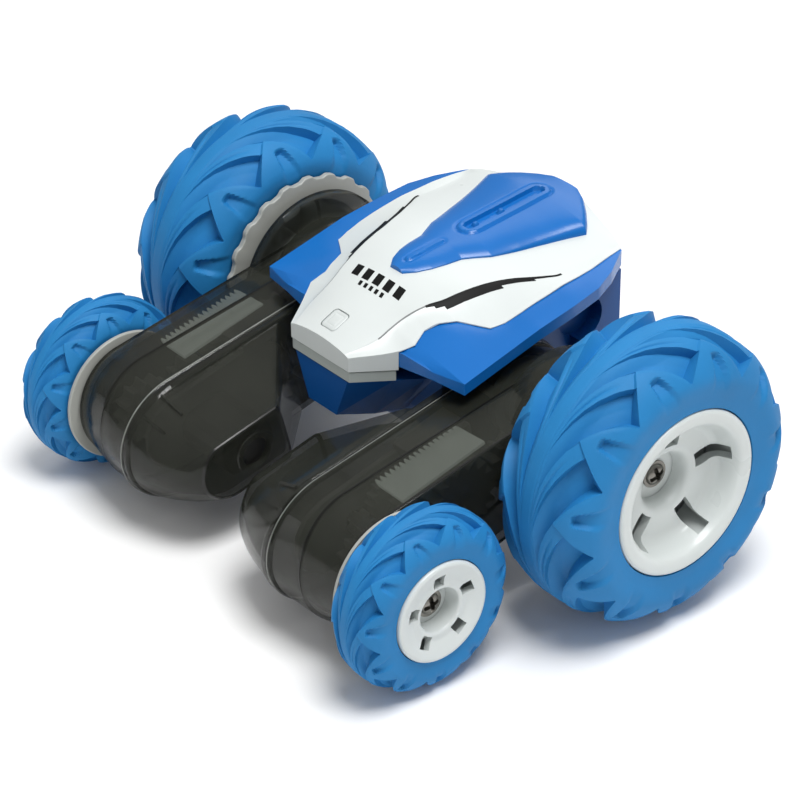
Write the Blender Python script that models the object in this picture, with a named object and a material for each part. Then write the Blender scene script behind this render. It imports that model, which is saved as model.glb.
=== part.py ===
"""Double-sided radio-control stunt car with two swinging side arms.

Each arm is a two-shell gearbox that carries one small front wheel and one big rear wheel, driven
together by one motor through a gear train. Both arms turn on the body about the big wheels' axle.

Row frame, in millimetres until make_object scales to metres: x = 0 is the car's mid-plane and +x is
the car's left, -y is the front, z = 0 is the floor, and y = 0 is the middle of the overall length.
An arm's own frame starts at the front axle: x as in the row frame, s runs back along the line from
the front axle to the rear axle, and h stands square to that line.
"""
import math

import bmesh
import bpy

MM = 0.001

# ---- Driving dimensions -------------------------------------------------------------------------
SMALL_WHEEL_RADIUS = 19.0
BIG_WHEEL_RADIUS = 31.0
OVERALL_LENGTH = 104.8
GAP = 0.3                       # between neighbours that touch on the real car
WALL = 1.5                      # moulded shell thickness

SMALL_WHEEL_X = 52.5            # centre plane of the small wheel
SMALL_TYRE_HALF_WIDTH = 7.45
SMALL_RIM_RADIUS = 10.7
BIG_WHEEL_X = 59.8              # centre plane of the big wheel
BIG_TYRE_HALF_WIDTH = 14.7
BIG_RIM_RADIUS = 17.7

# Gear train: the five wheel gears stand in one row between the two axles.
WHEEL_MODULE = 1.0
FRONT_TEETH, IDLER_TEETH, CENTRE_TEETH, REAR_TEETH = 13, 10, 15, 21
MOTOR_MODULE = 0.6
PINION_TEETH, REDUCTION_TEETH, REDUCTION_PINION_TEETH, CENTRE_INPUT_TEETH = 8, 24, 10, 18


def centre_distance(module, teeth_a, teeth_b):
    return module * (teeth_a + teeth_b) / 2


FRONT_IDLER_S = centre_distance(WHEEL_MODULE, FRONT_TEETH, IDLER_TEETH)
CENTRE_S = FRONT_IDLER_S + centre_distance(WHEEL_MODULE, IDLER_TEETH, CENTRE_TEETH)
REAR_IDLER_S = CENTRE_S + centre_distance(WHEEL_MODULE, CENTRE_TEETH, IDLER_TEETH)
AXLE_DISTANCE = REAR_IDLER_S + centre_distance(WHEEL_MODULE, IDLER_TEETH, REAR_TEETH)
REDUCTION_S = CENTRE_S - centre_distance(MOTOR_MODULE, REDUCTION_PINION_TEETH, CENTRE_INPUT_TEETH)
MOTOR_S = REDUCTION_S - centre_distance(MOTOR_MODULE, PINION_TEETH, REDUCTION_TEETH)

# Stations across an arm, from its inner face to its outer face.
ARM_INNER_X = 6.3               # inner face of the motor bulge
PLATE_X = 22.3                  # inner face of the flat part of the inner shell
SEAM_X = 24.0                   # where the two shells meet
RIDGE_X = 33.5                  # highest line of the outer shell
DISC_X = 41.0                   # inner face of the round flange beside the big wheel
ARM_OUTER_X = 43.5
DRUM_RADIUS = 14.8              # round gear case about the rear axle
DISC_RADIUS = 19.2
MOTOR_GEAR_X = (26.4, 28.8)     # plane of the motor pinion and the big reduction gear
STEP_GEAR_X = (29.8, 33.0)      # plane of the small reduction gear and the centre gear's input
WHEEL_GEAR_X = (35.0, 39.2)     # plane of the five wheel gears

FRONT_AXLE_Z = SMALL_WHEEL_RADIUS
REAR_AXLE_Z = BIG_WHEEL_RADIUS
ARM_TILT = math.asin((REAR_AXLE_Z - FRONT_AXLE_Z) / AXLE_DISTANCE)
FRONT_AXLE_Y = SMALL_WHEEL_RADIUS - OVERALL_LENGTH / 2
REAR_AXLE_Y = FRONT_AXLE_Y + AXLE_DISTANCE * math.cos(ARM_TILT)

PIVOT_RADIUS = 6.0
BELLY_RADIUS = 17.5             # the body's lower case clears the swinging arms inside this radius
BODY_HALF_WIDTH = 20.6          # the body between the two arms


# ---- Shared helpers -----------------------------------------------------------------------------
def clear_scene():
    for existing in list(bpy.data.objects):
        bpy.data.objects.remove(existing, do_unlink=True)


def make_material(name, colour, roughness, metallic=0.0, alpha=1.0):
    result = bpy.data.materials.new(name)
    result.use_nodes = True
    shader = result.node_tree.nodes["Principled BSDF"]
    shader.inputs["Base Color"].default_value = (*colour, 1.0)
    shader.inputs["Roughness"].default_value = roughness
    shader.inputs["Metallic"].default_value = metallic
    shader.inputs["Alpha"].default_value = alpha
    return result


def make_empty(name, location, tilt=0.0):
    empty = bpy.data.objects.new(name, None)
    empty.location = [value * MM for value in location]
    empty.rotation_euler = (tilt, 0.0, 0.0)
    bpy.context.scene.collection.objects.link(empty)
    return empty


def make_object(name, shape, material, parent=None, location=(0, 0, 0), side=1, smooth=False):
    """Turn (vertices, faces) in millimetres into an object; side -1 mirrors it to the car's right."""
    vertices, faces = shape
    scaled = [(x * MM * side, y * MM, z * MM) for x, y, z in vertices]
    mesh = bpy.data.meshes.new(name)
    mesh.from_pydata(scaled, [], faces)
    work = bmesh.new()
    work.from_mesh(mesh)
    bmesh.ops.recalc_face_normals(work, faces=work.faces)
    work.to_mesh(mesh)
    work.free()
    if material:
        mesh.materials.append(material)
    if smooth:
        mesh.shade_smooth()
        mesh.set_sharp_from_angle(angle=math.radians(35))
    result = bpy.data.objects.new(name, mesh)
    result.location = (location[0] * MM * side, location[1] * MM, location[2] * MM)
    result.parent = parent
    bpy.context.scene.collection.objects.link(result)
    return result


def make_tool(name, shape, parent=None, location=(0, 0, 0), side=1):
    """A hidden solid that only cuts or joins another."""
    tool = make_object(name, shape, None, parent, location, side)
    tool.hide_render = True
    tool.display_type = "WIRE"
    return tool


def boolean(target, operation, name, shape, parent=None, location=(0, 0, 0), side=1):
    modifier = target.modifiers.new(name, "BOOLEAN")
    modifier.operation = operation
    modifier.object = make_tool(name, shape, parent, location, side)
    modifier.solver = "EXACT"


def interpolate(points, value):
    """Piecewise linear reading of a list of (value, result) pairs, held beyond both ends."""
    if value <= points[0][0]:
        return points[0][1]
    for (low, low_result), (high, high_result) in zip(points, points[1:]):
        if value <= high:
            return low_result + (high_result - low_result) * (value - low) / (high - low)
    return points[-1][1]


def join_rings(rings, cap_ends=True, close=False):
    """Bridge rings of equal length into one solid; close joins the last ring to the first."""
    count = len(rings[0])
    vertices = [point for ring in rings for point in ring]
    faces = []
    spans = len(rings) if close else len(rings) - 1
    for span in range(spans):
        here, there = span * count, (span + 1) % len(rings) * count
        for i in range(count):
            j = (i + 1) % count
            faces.append((here + i, here + j, there + j, there + i))
    if cap_ends and not close:
        faces.append(tuple(range(count)))
        faces.append(tuple(range(len(vertices) - count, len(vertices))))
    return vertices, faces


def lathe(profile, segments, open_ended=False):
    """Turn a profile of (x, radius) about the x axis: a loop makes a ring, open_ended makes a pin."""
    rings = []
    for x, radius in profile:
        angles = [2 * math.pi * i / segments for i in range(segments)]
        rings.append([(x, radius * math.cos(a), radius * math.sin(a)) for a in angles])
    return join_rings(rings, cap_ends=open_ended, close=not open_ended)


def pin(x_from, x_to, radius, segments=16):
    return lathe([(x_from, radius), (x_to, radius)], segments, open_ended=True)


def box(low, high):
    (x0, y0, z0), (x1, y1, z1) = low, high
    rings = [[(x, y0, z0), (x, y1, z0), (x, y1, z1), (x, y0, z1)] for x in (x0, x1)]
    return join_rings(rings)


def plan_solid(stations, half_width, columns, top, bottom):
    """A solid between two height functions, over a plan outline that is even about x = 0."""
    rings = []
    for y in stations:
        half = columns(y, half_width(y))
        xs = [-x for x in reversed(half[1:])] + half
        upper = [(x, y, top(x, y)) for x in xs]
        lower = [(x, y, bottom(x, y)) for x in reversed(xs)]
        rings.append(upper + lower)
    return join_rings(rings)


# ---- Materials ----------------------------------------------------------------------------------
def make_materials():
    return {
        "tyre": make_material("tyre", (0.035, 0.24, 0.60), 0.62),
        "white": make_material("white_plastic", (0.86, 0.88, 0.86), 0.30),
        "blue": make_material("blue_plastic", (0.018, 0.16, 0.56), 0.26),
        "smoke": make_material("smoke_plastic", (0.10, 0.10, 0.09), 0.22, alpha=0.6),
        "grey": make_material("grey_plastic", (0.42, 0.45, 0.45), 0.40),
        "gear": make_material("gear_plastic", (0.80, 0.79, 0.74), 0.45),
        "steel": make_material("steel", (0.62, 0.62, 0.62), 0.30, metallic=1.0),
        "board": make_material("board", (0.02, 0.18, 0.08), 0.50),
        "battery": make_material("battery_wrap", (0.30, 0.33, 0.38), 0.45),
    }


# ---- Gears --------------------------------------------------------------------------------------
TOOTH_TIP = 0.06                # half thickness of a tooth at its tip, as a share of the pitch
ADDENDUM = 0.6                  # both in modules: short teeth with deep pointed gaps run freely
DEDENDUM = 1.3
BORE_SEGMENTS = 8


def gear_outline(x, teeth, module, phase):
    tip_radius = module * (teeth / 2 + ADDENDUM)
    root_radius = module * (teeth / 2 - DEDENDUM)
    points = []
    for tooth in range(teeth):
        for share, radius in ((-TOOTH_TIP, tip_radius), (TOOTH_TIP, tip_radius), (0.5, root_radius)):
            angle = phase + 2 * math.pi * (tooth + share) / teeth
            points.append((x, radius * math.cos(angle), radius * math.sin(angle)))
    return points


def gear_blank(x_span, teeth, module, phase):
    """A toothed disc with no bore."""
    return join_rings([gear_outline(x, teeth, module, phase) for x in x_span])


def mesh_phase(left_teeth, left_phase, right_teeth):
    """Phase of the gear further back, so that its tooth gap meets the tooth of the one in front."""
    turns = 0.5 - left_phase * left_teeth / (2 * math.pi)
    return math.pi + turns * 2 * math.pi / right_teeth


FRONT_PHASE = 0.0
FRONT_IDLER_PHASE = mesh_phase(FRONT_TEETH, FRONT_PHASE, IDLER_TEETH)
CENTRE_PHASE = mesh_phase(IDLER_TEETH, FRONT_IDLER_PHASE, CENTRE_TEETH)
REAR_IDLER_PHASE = mesh_phase(CENTRE_TEETH, CENTRE_PHASE, IDLER_TEETH)
REAR_PHASE = mesh_phase(IDLER_TEETH, REAR_IDLER_PHASE, REAR_TEETH)
REDUCTION_PHASE = mesh_phase(PINION_TEETH, 0.0, REDUCTION_TEETH)
REDUCTION_PINION_PHASE = 0.1
CENTRE_INPUT_PHASE = mesh_phase(REDUCTION_PINION_TEETH, REDUCTION_PINION_PHASE, CENTRE_INPUT_TEETH)

STUB_RADIUS = 1.1               # fixed pins that the loose gears turn on
STUB_BORE = 1.3
SMALL_SHAFT_RADIUS = 3.0
BIG_SHAFT_RADIUS = 3.5
SHAFT_CLEARANCE = 0.25
SCREW_RADIUS = 1.1
SCREW_HOLE = 1.3


def make_loose_gear(name, frame, side, s, teeth, phase, material):
    """An idler that turns on a pin of the outer shell."""
    gear = make_object(name, gear_blank(WHEEL_GEAR_X, teeth, WHEEL_MODULE, phase), material,
                       frame, (0, s, 0), side)
    boolean(gear, "DIFFERENCE", name + "_bore", pin(30, 42, STUB_BORE, BORE_SEGMENTS),
            frame, (0, s, 0), side)
    return gear


def make_drive_gear(name, frame, side, s, teeth, phase, shaft_radius, shaft_end, material):
    """A wheel gear moulded in one with the hollow shaft that carries its wheel."""
    gear = make_object(name, gear_blank(WHEEL_GEAR_X, teeth, WHEEL_MODULE, phase), material,
                       frame, (0, s, 0), side)
    boolean(gear, "UNION", name + "_shaft", pin(WHEEL_GEAR_X[0] - 1.0, shaft_end, shaft_radius, 16),
            frame, (0, s, 0), side)
    boolean(gear, "DIFFERENCE", name + "_screw_hole", pin(shaft_end - 11, shaft_end + 1, SCREW_HOLE),
            frame, (0, s, 0), side)
    return gear


def make_gears(hand, side, frame, materials):
    gear = materials["gear"]
    for name, s, teeth, phase in (
            ("front_idler", FRONT_IDLER_S, IDLER_TEETH, FRONT_IDLER_PHASE),
            ("rear_idler", REAR_IDLER_S, IDLER_TEETH, REAR_IDLER_PHASE)):
        make_loose_gear(f"{name}_{hand}", frame, side, s, teeth, phase, gear)
    centre = make_loose_gear(f"centre_gear_{hand}", frame, side, CENTRE_S, CENTRE_TEETH,
                             CENTRE_PHASE, gear)
    centre_input = gear_blank((STEP_GEAR_X[0], WHEEL_GEAR_X[0] + 0.5), CENTRE_INPUT_TEETH,
                              MOTOR_MODULE, CENTRE_INPUT_PHASE)
    boolean(centre, "UNION", f"centre_input_{hand}", centre_input, frame, (0, CENTRE_S, 0), side)
    boolean(centre, "DIFFERENCE", f"centre_long_bore_{hand}", pin(28, 42, STUB_BORE, BORE_SEGMENTS),
            frame, (0, CENTRE_S, 0), side)

    small_end = gear_blank((MOTOR_GEAR_X[0] + 0.4, STEP_GEAR_X[1]), REDUCTION_PINION_TEETH,
                           MOTOR_MODULE, REDUCTION_PINION_PHASE)
    reduction = make_object(f"reduction_gear_{hand}", small_end, gear, frame, (0, REDUCTION_S, 0), side)
    big_end = gear_blank(MOTOR_GEAR_X, REDUCTION_TEETH, MOTOR_MODULE, REDUCTION_PHASE)
    boolean(reduction, "UNION", f"reduction_big_{hand}", big_end, frame, (0, REDUCTION_S, 0), side)
    boolean(reduction, "DIFFERENCE", f"reduction_bore_{hand}", pin(25, 34, STUB_BORE, BORE_SEGMENTS),
            frame, (0, REDUCTION_S, 0), side)

    pinion = make_object(f"motor_pinion_{hand}",
                         gear_blank(MOTOR_GEAR_X, PINION_TEETH, MOTOR_MODULE, 0.0),
                         materials["steel"], frame, (0, MOTOR_S, 0), side)
    boolean(pinion, "UNION", f"motor_shaft_{hand}", pin(MOTOR_FRONT_X - 4, MOTOR_GEAR_X[0] + 1, 0.75, 10),
            frame, (0, MOTOR_S, 0), side)

    make_drive_gear(f"front_drive_gear_{hand}", frame, side, 0, FRONT_TEETH, FRONT_PHASE,
                    SMALL_SHAFT_RADIUS, SMALL_WHEEL_X - 1.0, gear)
    make_drive_gear(f"rear_drive_gear_{hand}", frame, side, AXLE_DISTANCE, REAR_TEETH, REAR_PHASE,
                    BIG_SHAFT_RADIUS, BIG_WHEEL_X - 3.2, gear)


# ---- Arm shells ---------------------------------------------------------------------------------
# For each station across the arm: reach of the rounded front ahead of the axle, height of the top
# line over the front axle, and how fast that line falls towards the rear.
FRONT_REACH = ((6.3, 7.0), (8.0, 9.4), (12.0, 12.0), (17.0, 13.8), (24.0, 14.8), (33.5, 14.1), (43.5, 12.5))
TOP_HEIGHT = ((6.3, 6.8), (24.0, 13.35), (33.5, 15.4), (43.5, 13.26))
TOP_FALL = ((6.3, 0.0), (21.0, 0.0), (24.0, 0.043), (33.5, 0.069), (43.5, 0.05))
BULGE_END = ((6.3, 14.1), (17.3, 24.1), (23.9, 30.1))
ARC_STEPS = 6
LIP_HEIGHT = 0.4                # raised lip along both sides of the seam
LIP_WIDTH = 1.5


def arm_ring(x, inset=0.0, end=None):
    """Side outline of the arm at one station, shrunk by inset; end stops it before the rear axle."""
    reach = interpolate(FRONT_REACH, x) - inset
    height = interpolate(TOP_HEIGHT, x) - inset
    fall = interpolate(TOP_FALL, x)
    rear = AXLE_DISTANCE if end is None else end - inset
    rear_height = height - fall * rear
    ring = []
    for step in range(ARC_STEPS + 1):
        angle = math.pi / 2 + math.pi * step / ARC_STEPS
        ring.append((x, reach * math.cos(angle), height * math.sin(angle)))
    for step in range(ARC_STEPS + 1):
        angle = -math.pi / 2 + math.pi * step / ARC_STEPS
        bow = rear_height if end is None else 1.5
        ring.append((x, rear - (0 if end is None else 1.5) + bow * math.cos(angle),
                     rear_height * math.sin(angle)))
    return ring


def make_outer_shell(hand, side, frame, material):
    seam = SEAM_X + GAP / 2
    lip_end = SEAM_X + LIP_WIDTH
    rings = [arm_ring(seam, -LIP_HEIGHT), arm_ring(lip_end, -LIP_HEIGHT)]
    rings += [arm_ring(x) for x in (lip_end + 0.1, RIDGE_X, RIDGE_X + 1.2, ARM_OUTER_X)]
    shell = make_object(f"arm_outer_shell_{hand}", join_rings(rings), material, frame, (0, 0, 0), side,
                        smooth=True)
    rear = (0, AXLE_DISTANCE, 0)
    drum = lathe([(RIDGE_X - 1.5, DRUM_RADIUS - 2.5), (RIDGE_X, DRUM_RADIUS), (DISC_X, DRUM_RADIUS),
                  (DISC_X, DISC_RADIUS), (ARM_OUTER_X, DISC_RADIUS)], 24, open_ended=True)
    boolean(shell, "UNION", f"drum_{hand}", drum, frame, rear, side)
    hollow_stations = (seam - 1, RIDGE_X, ARM_OUTER_X - WALL)
    hollow = join_rings([arm_ring(x, WALL) for x in hollow_stations])
    boolean(shell, "DIFFERENCE", f"outer_hollow_{hand}", hollow, frame, (0, 0, 0), side)
    drum_hollow = pin(RIDGE_X + 0.5, ARM_OUTER_X - WALL - 0.15, DRUM_RADIUS - WALL, 24)
    boolean(shell, "DIFFERENCE", f"drum_hollow_{hand}", drum_hollow, frame, rear, side)
    for name, s, x_from in (("front", FRONT_IDLER_S, WHEEL_GEAR_X[0] - 0.6),
                            ("centre", CENTRE_S, STEP_GEAR_X[0] - 0.4),
                            ("rear", REAR_IDLER_S, WHEEL_GEAR_X[0] - 0.6)):
        stub = lathe([(x_from, STUB_RADIUS), (WHEEL_GEAR_X[1] + 0.4, STUB_RADIUS),
                      (WHEEL_GEAR_X[1] + 0.4, 2.2), (ARM_OUTER_X - 0.6, 2.2)], 8, open_ended=True)
        boolean(shell, "UNION", f"{name}_stub_{hand}", stub, frame, (0, s, 0), side)
    for name, s, h in HOUSING_SCREWS:
        boss = pin(SEAM_X + 0.4, RIDGE_X, 2.2, 10)
        boolean(shell, "UNION", f"{name}_boss_{hand}", boss, frame, (0, s, h), side)
        hole = pin(SEAM_X - 1, RIDGE_X - 1.5, SCREW_HOLE, 10)
        boolean(shell, "DIFFERENCE", f"{name}_thread_{hand}", hole, frame, (0, s, h), side)
    for name, s, radius in (("front", 0, SMALL_SHAFT_RADIUS), ("rear", AXLE_DISTANCE, BIG_SHAFT_RADIUS)):
        bush = pin(WHEEL_GEAR_X[1] + 0.5, ARM_OUTER_X - 0.6, radius + 2.0, 14)
        boolean(shell, "UNION", f"{name}_bush_{hand}", bush, frame, (0, s, 0), side)
        hole = pin(WHEEL_GEAR_X[1], ARM_OUTER_X + 1, radius + SHAFT_CLEARANCE, 16)
        boolean(shell, "DIFFERENCE", f"{name}_axle_hole_{hand}", hole, frame, (0, s, 0), side)
    return shell


def make_inner_shell(hand, side, frame, material):
    seam = SEAM_X - GAP / 2
    bulge_stations = (ARM_INNER_X, 8.0, 12.0, 17.3, seam)
    bulge = join_rings([arm_ring(x, 0, interpolate(BULGE_END, x)) for x in bulge_stations])
    shell = make_object(f"arm_inner_shell_{hand}", bulge, material, frame, (0, 0, 0), side, smooth=True)
    plate = join_rings([arm_ring(x, -LIP_HEIGHT) for x in (PLATE_X, seam)])
    boolean(shell, "UNION", f"plate_{hand}", plate, frame, (0, 0, 0), side)
    hollow_stations = (ARM_INNER_X + WALL, 12.0, 17.3, seam + 1)
    hollow = join_rings([arm_ring(x, WALL, interpolate(BULGE_END, x)) for x in hollow_stations])
    boolean(shell, "DIFFERENCE", f"bulge_hollow_{hand}", hollow, frame, (0, 0, 0), side)
    boolean(shell, "DIFFERENCE", f"motor_vent_{hand}", pin(ARM_INNER_X - 1, ARM_INNER_X + 3, 3.4, 20),
            frame, (0, MOTOR_S, 0), side)
    boolean(shell, "DIFFERENCE", f"pivot_hole_{hand}", pin(PLATE_X - 1, SEAM_X + 1, PIVOT_RADIUS + 0.25, 18),
            frame, (0, AXLE_DISTANCE, 0), side)
    for name, s, h in HOUSING_SCREWS:
        hole = pin(PLATE_X - 1, SEAM_X + 1, SCREW_HOLE, 12)
        boolean(shell, "DIFFERENCE", f"{name}_clearance_{hand}", hole, frame, (0, s, h), side)
    return shell


def make_gear_plate(hand, side, frame, material):
    """The plate inside the arm that holds the motor's nose and the reduction gear's pin, with a cover
    over the step gears."""
    x_low, x_high = SEAM_X + 0.5, SEAM_X + 1.7
    outline = []
    for centre, start in ((0.0, math.pi / 2), (21.0, -math.pi / 2)):
        for step in range(ARC_STEPS + 1):
            angle = start + math.pi * step / ARC_STEPS
            outline.append((centre + 8.5 * math.cos(angle), 8.5 * math.sin(angle)))
    plate = make_object(f"gear_plate_{hand}",
                        join_rings([[(x, s, h) for s, h in outline] for x in (x_low, x_high)]),
                        material, frame, (0, 0, 0), side)
    stub = pin(x_high - 0.5, STEP_GEAR_X[1] + 0.4, STUB_RADIUS, 12)
    boolean(plate, "UNION", f"reduction_stub_{hand}", stub, frame, (0, REDUCTION_S, 0), side)
    cover = box((x_low, 19.5, 7.5), (STEP_GEAR_X[1] - 0.2, 33.0, 9.9))
    boolean(plate, "UNION", f"gear_cover_{hand}", cover, frame, (0, 0, 0), side)
    boolean(plate, "DIFFERENCE", f"pinion_window_{hand}", pin(x_low - 1, x_high + 1, 2.0, 16),
            frame, (0, MOTOR_S, 0), side)
    return plate


# ---- Motors and screws --------------------------------------------------------------------------
MOTOR_REAR_X = 9.2
MOTOR_FRONT_X = 23.6
MOTOR_RADIUS = 6.6
MOTOR_FLAT = 4.9                # half the thickness across the motor's flats
HOUSING_SCREWS = (("housing_screw_rear", 43.0, 8.6), ("housing_screw_middle", 33.5, -8.9))


def make_motor(hand, side, frame, material):
    profile = [(MOTOR_REAR_X - 0.9, 2.6), (MOTOR_REAR_X, 2.6), (MOTOR_REAR_X, MOTOR_RADIUS),
               (MOTOR_FRONT_X - 0.8, MOTOR_RADIUS), (MOTOR_FRONT_X - 0.8, 2.4), (MOTOR_FRONT_X, 2.4)]
    vertices, faces = lathe(profile, 18, open_ended=True)
    flattened = [(x, y, max(-MOTOR_FLAT, min(MOTOR_FLAT, z))) for x, y, z in vertices]
    motor = make_object(f"motor_{hand}", (flattened, faces), material, frame, (0, MOTOR_S, 0), side)
    boolean(motor, "DIFFERENCE", f"motor_nose_hole_{hand}", pin(MOTOR_FRONT_X - 5, MOTOR_FRONT_X + 1, 0.95, 10),
            frame, (0, MOTOR_S, 0), side)


def screw_shape(head_radius, head_height, length, outward):
    """A pan-head screw along x with its head's underside at x = 0; outward is the head's side."""
    profile = [(-length, SCREW_RADIUS), (0, SCREW_RADIUS), (0, head_radius), (head_height, head_radius * 0.8)]
    return lathe([(x * outward, radius) for x, radius in profile], 10, open_ended=True)


def make_housing_screws(hand, side, frame, material):
    for name, s, h in HOUSING_SCREWS:
        make_object(f"{name}_{hand}", screw_shape(2.0, 0.9, 8.0, -1), material,
                    frame, (PLATE_X - 0.15, s, h), side)


# ---- Wheels -------------------------------------------------------------------------------------
TYRE_ROUNDING = 2.2             # superellipse exponent of the tyre's section
TYRE_SECTION_STEPS = 8
HUB_WINDOWS = 5


def tyre_profile(radius, half_width, rim_radius, flange_radius, flange_x):
    """Section of a tyre: a superellipse on the rim, stepped on its inner side round the flange."""
    seat = rim_radius + GAP
    profile = []
    for step in range(TYRE_SECTION_STEPS + 1):
        angle = math.pi * step / TYRE_SECTION_STEPS
        across = math.copysign(abs(math.cos(angle)) ** (2 / TYRE_ROUNDING), math.cos(angle))
        up = abs(math.sin(angle)) ** (2 / TYRE_ROUNDING)
        x, r = half_width * across, seat + (radius - seat) * up
        if x > flange_x or r > flange_radius + GAP:
            profile.append((x, r))
    if flange_x > -half_width:
        profile += [(flange_x, flange_radius + GAP), (flange_x, seat)]
    return profile


def window_shape(radius_in, radius_out, x_from, x_to, spread, turn):
    """A wedge through the wheel's disc, spread radians wide, centred on turn."""
    outline = []
    for radius, direction in ((radius_in, 1), (radius_out, -1)):
        for step in range(2):
            angle = turn + direction * spread * (step - 0.5)
            outline.append((radius * math.cos(angle), radius * math.sin(angle)))
    return join_rings([[(x, y, z) for y, z in outline] for x in (x_from, x_to)])


def make_wheel(size, hand, side, centre, materials):
    """Tyre, rim and wheel screw; size is a dict of the wheel's dimensions, x from its mid-plane."""
    name = size["name"]
    tyre = tyre_profile(size["radius"], size["half_width"], size["rim"], size["flange"],
                        size["flange_x"][1] + GAP)
    make_object(f"{name}_tyre_{hand}", lathe(tyre, size["segments"]), materials["tyre"],
                None, centre, side, smooth=True)
    rim, lip = size["rim"], size["lip_x"]
    inner = rim - 1.6
    flange_low, flange_high = size["flange_x"]
    disc_low, disc_high = size["disc_x"]
    bore = size["shaft"] + 0.12
    profile = [(flange_low, inner), (flange_low, size["flange"]), (flange_high, size["flange"]),
               (flange_high, rim), (lip, rim), (lip, inner), (disc_high, inner),
               (disc_high, size["boss"]), (size["boss_x"], size["boss"]), (size["boss_x"], size["recess"]),
               (size["web_x"][1], size["recess"]), (size["web_x"][1], SCREW_HOLE),
               (size["web_x"][0], SCREW_HOLE), (size["web_x"][0], bore), (flange_low + 0.4, bore),
               (flange_low + 0.4, size["boss"]), (disc_low, size["boss"]), (disc_low, inner)]
    wheel = make_object(f"{name}_rim_{hand}", lathe(profile, size["rim_segments"]), materials["white"],
                        None, centre, side, smooth=True)
    for number in range(HUB_WINDOWS):
        turn = 2 * math.pi * number / HUB_WINDOWS
        cutter = window_shape(size["window"][0], size["window"][1], disc_low - 2, disc_high + 2,
                              size["window_spread"], turn)
        boolean(wheel, "DIFFERENCE", f"{name}_window_{hand}_{number}", cutter, None, centre, side)
    screw = screw_shape(2.95, 1.4, size["screw_length"], 1)
    make_object(f"{name}_wheel_screw_{hand}", screw, materials["steel"], None,
                (centre[0] + size["web_x"][1] + 0.15, centre[1], centre[2]), side)


SMALL_WHEEL = {
    "name": "small", "radius": SMALL_WHEEL_RADIUS, "half_width": SMALL_TYRE_HALF_WIDTH,
    "rim": SMALL_RIM_RADIUS, "flange": 14.5, "flange_x": (-8.6, -7.75), "lip_x": 7.05,
    "disc_x": (3.4, 5.6), "boss": 4.7, "boss_x": 6.2, "recess": 3.9, "web_x": (-0.7, 2.3),
    "shaft": SMALL_SHAFT_RADIUS, "window": (6.0, 8.4), "window_spread": 0.62, "screw_length": 9.0,
    "segments": 28, "rim_segments": 20,
}
BIG_WHEEL = {
    "name": "big", "radius": BIG_WHEEL_RADIUS, "half_width": BIG_TYRE_HALF_WIDTH,
    "rim": BIG_RIM_RADIUS, "flange": 21.0, "flange_x": (-14.7, -13.5), "lip_x": 12.7,
    "disc_x": (4.5, 6.3), "boss": 5.4, "boss_x": 9.5, "recess": 3.9, "web_x": (-2.9, 3.0),
    "shaft": BIG_SHAFT_RADIUS, "window": (8.0, 14.2), "window_spread": 0.80, "screw_length": 11.0,
    "segments": 32, "rim_segments": 24,
}


# ---- Body ---------------------------------------------------------------------------------------
NOSE_Y = -15.4                  # front of the white canopy
JUNCTION_Y = -7.4               # where the wings start beside the nose
TAIL_Y = OVERALL_LENGTH / 2
WING_THICKNESS = 2.6
# Each row: y, then the half width and height of the canopy's crease, and of its lower outer edge.
CANOPY_LINES = (
    (NOSE_Y, 8.2, 45.5, 9.3, 45.1), (JUNCTION_Y, 10.5, 48.15, 14.9, 46.2), (-4.3, 10.8, 49.6, 16.8, 47.4),
    (-1.1, 11.4, 51.0, 15.9, 49.1), (5.1, 13.6, 52.6, 18.5, 50.1), (9.0, 14.6, 53.4, 24.3, 49.6),
    (16.0, 16.5, 54.1, 25.5, 51.0), (24.0, 19.9, 53.9, 25.5, 52.7), (29.1, 22.3, 53.7, 25.45, 53.4),
    (45.0, 22.4, 54.9, 23.6, 54.6), (49.3, 11.6, 55.9, 12.5, 55.5), (TAIL_Y, 2.2, 56.4, 2.5, 56.0))
DECK_OUTLINE = ((-7.0, 15.2), (-3.8, 31.6), (5.0, 31.5), (16.0, 31.3), (26.0, 30.9), (33.0, 30.2),
                (38.5, 28.0), (45.0, 24.0), (48.9, 12.0), (51.9, 2.5))
CENTRE_PROFILE = ((NOSE_Y, 46.4), (-11.0, 48.6), (-3.0, 51.6), (5.0, 54.0), (17.0, 55.0), (26.0, 55.1),
                  (45.0, 56.5), (TAIL_Y, 56.8))
SCOOP_OUTLINE = ((4.8, 2.2), (10.0, 4.6), (17.0, 6.2), (21.5, 9.3), (35.5, 13.4), (42.6, 15.8),
                 (46.9, 10.4), (50.8, 6.0))
# The screws that hold the case to the deck: place, and height of the face under the head.
BODY_SCREWS = (("body_screw_front", 0.0, -2.8, 27.9), ("body_screw_rear_left", 16.0, 41.0, 39.0),
               ("body_screw_rear_right", -16.0, 41.0, 39.0))
BODY_BOSS_RADIUS = 2.6
SCOOP_PROFILE = ((4.8, 54.9), (10.0, 55.6), (17.0, 56.2), (26.0, 56.8), (45.0, 58.7), (50.8, 58.9))
BUTTON_Y = -11.2
BUTTON_SIZE = 4.8


def wing_line(y):
    """Height of the wings' upper face before its droop: it climbs evenly from the nose to the tail."""
    return 44.7 + 0.1623 * (y - NOSE_Y)


def canopy_line(y, column):
    return interpolate([(row[0], row[column]) for row in CANOPY_LINES], y)


def canopy_edge(y):
    return canopy_line(y, 3)


def canopy_top(x, y):
    """A crowned upper face between the two creases, and a shoulder from each crease to the edge."""
    crease, crease_height, edge, height = (canopy_line(y, column) for column in (1, 2, 3, 4))
    if abs(x) >= crease:
        share = min(1.0, (abs(x) - crease) / (edge - crease))
        return crease_height + (height - crease_height) * share ** 0.75
    centre = interpolate(CENTRE_PROFILE, y)
    return centre + (crease_height - centre) * (x / crease) ** 2


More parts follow.
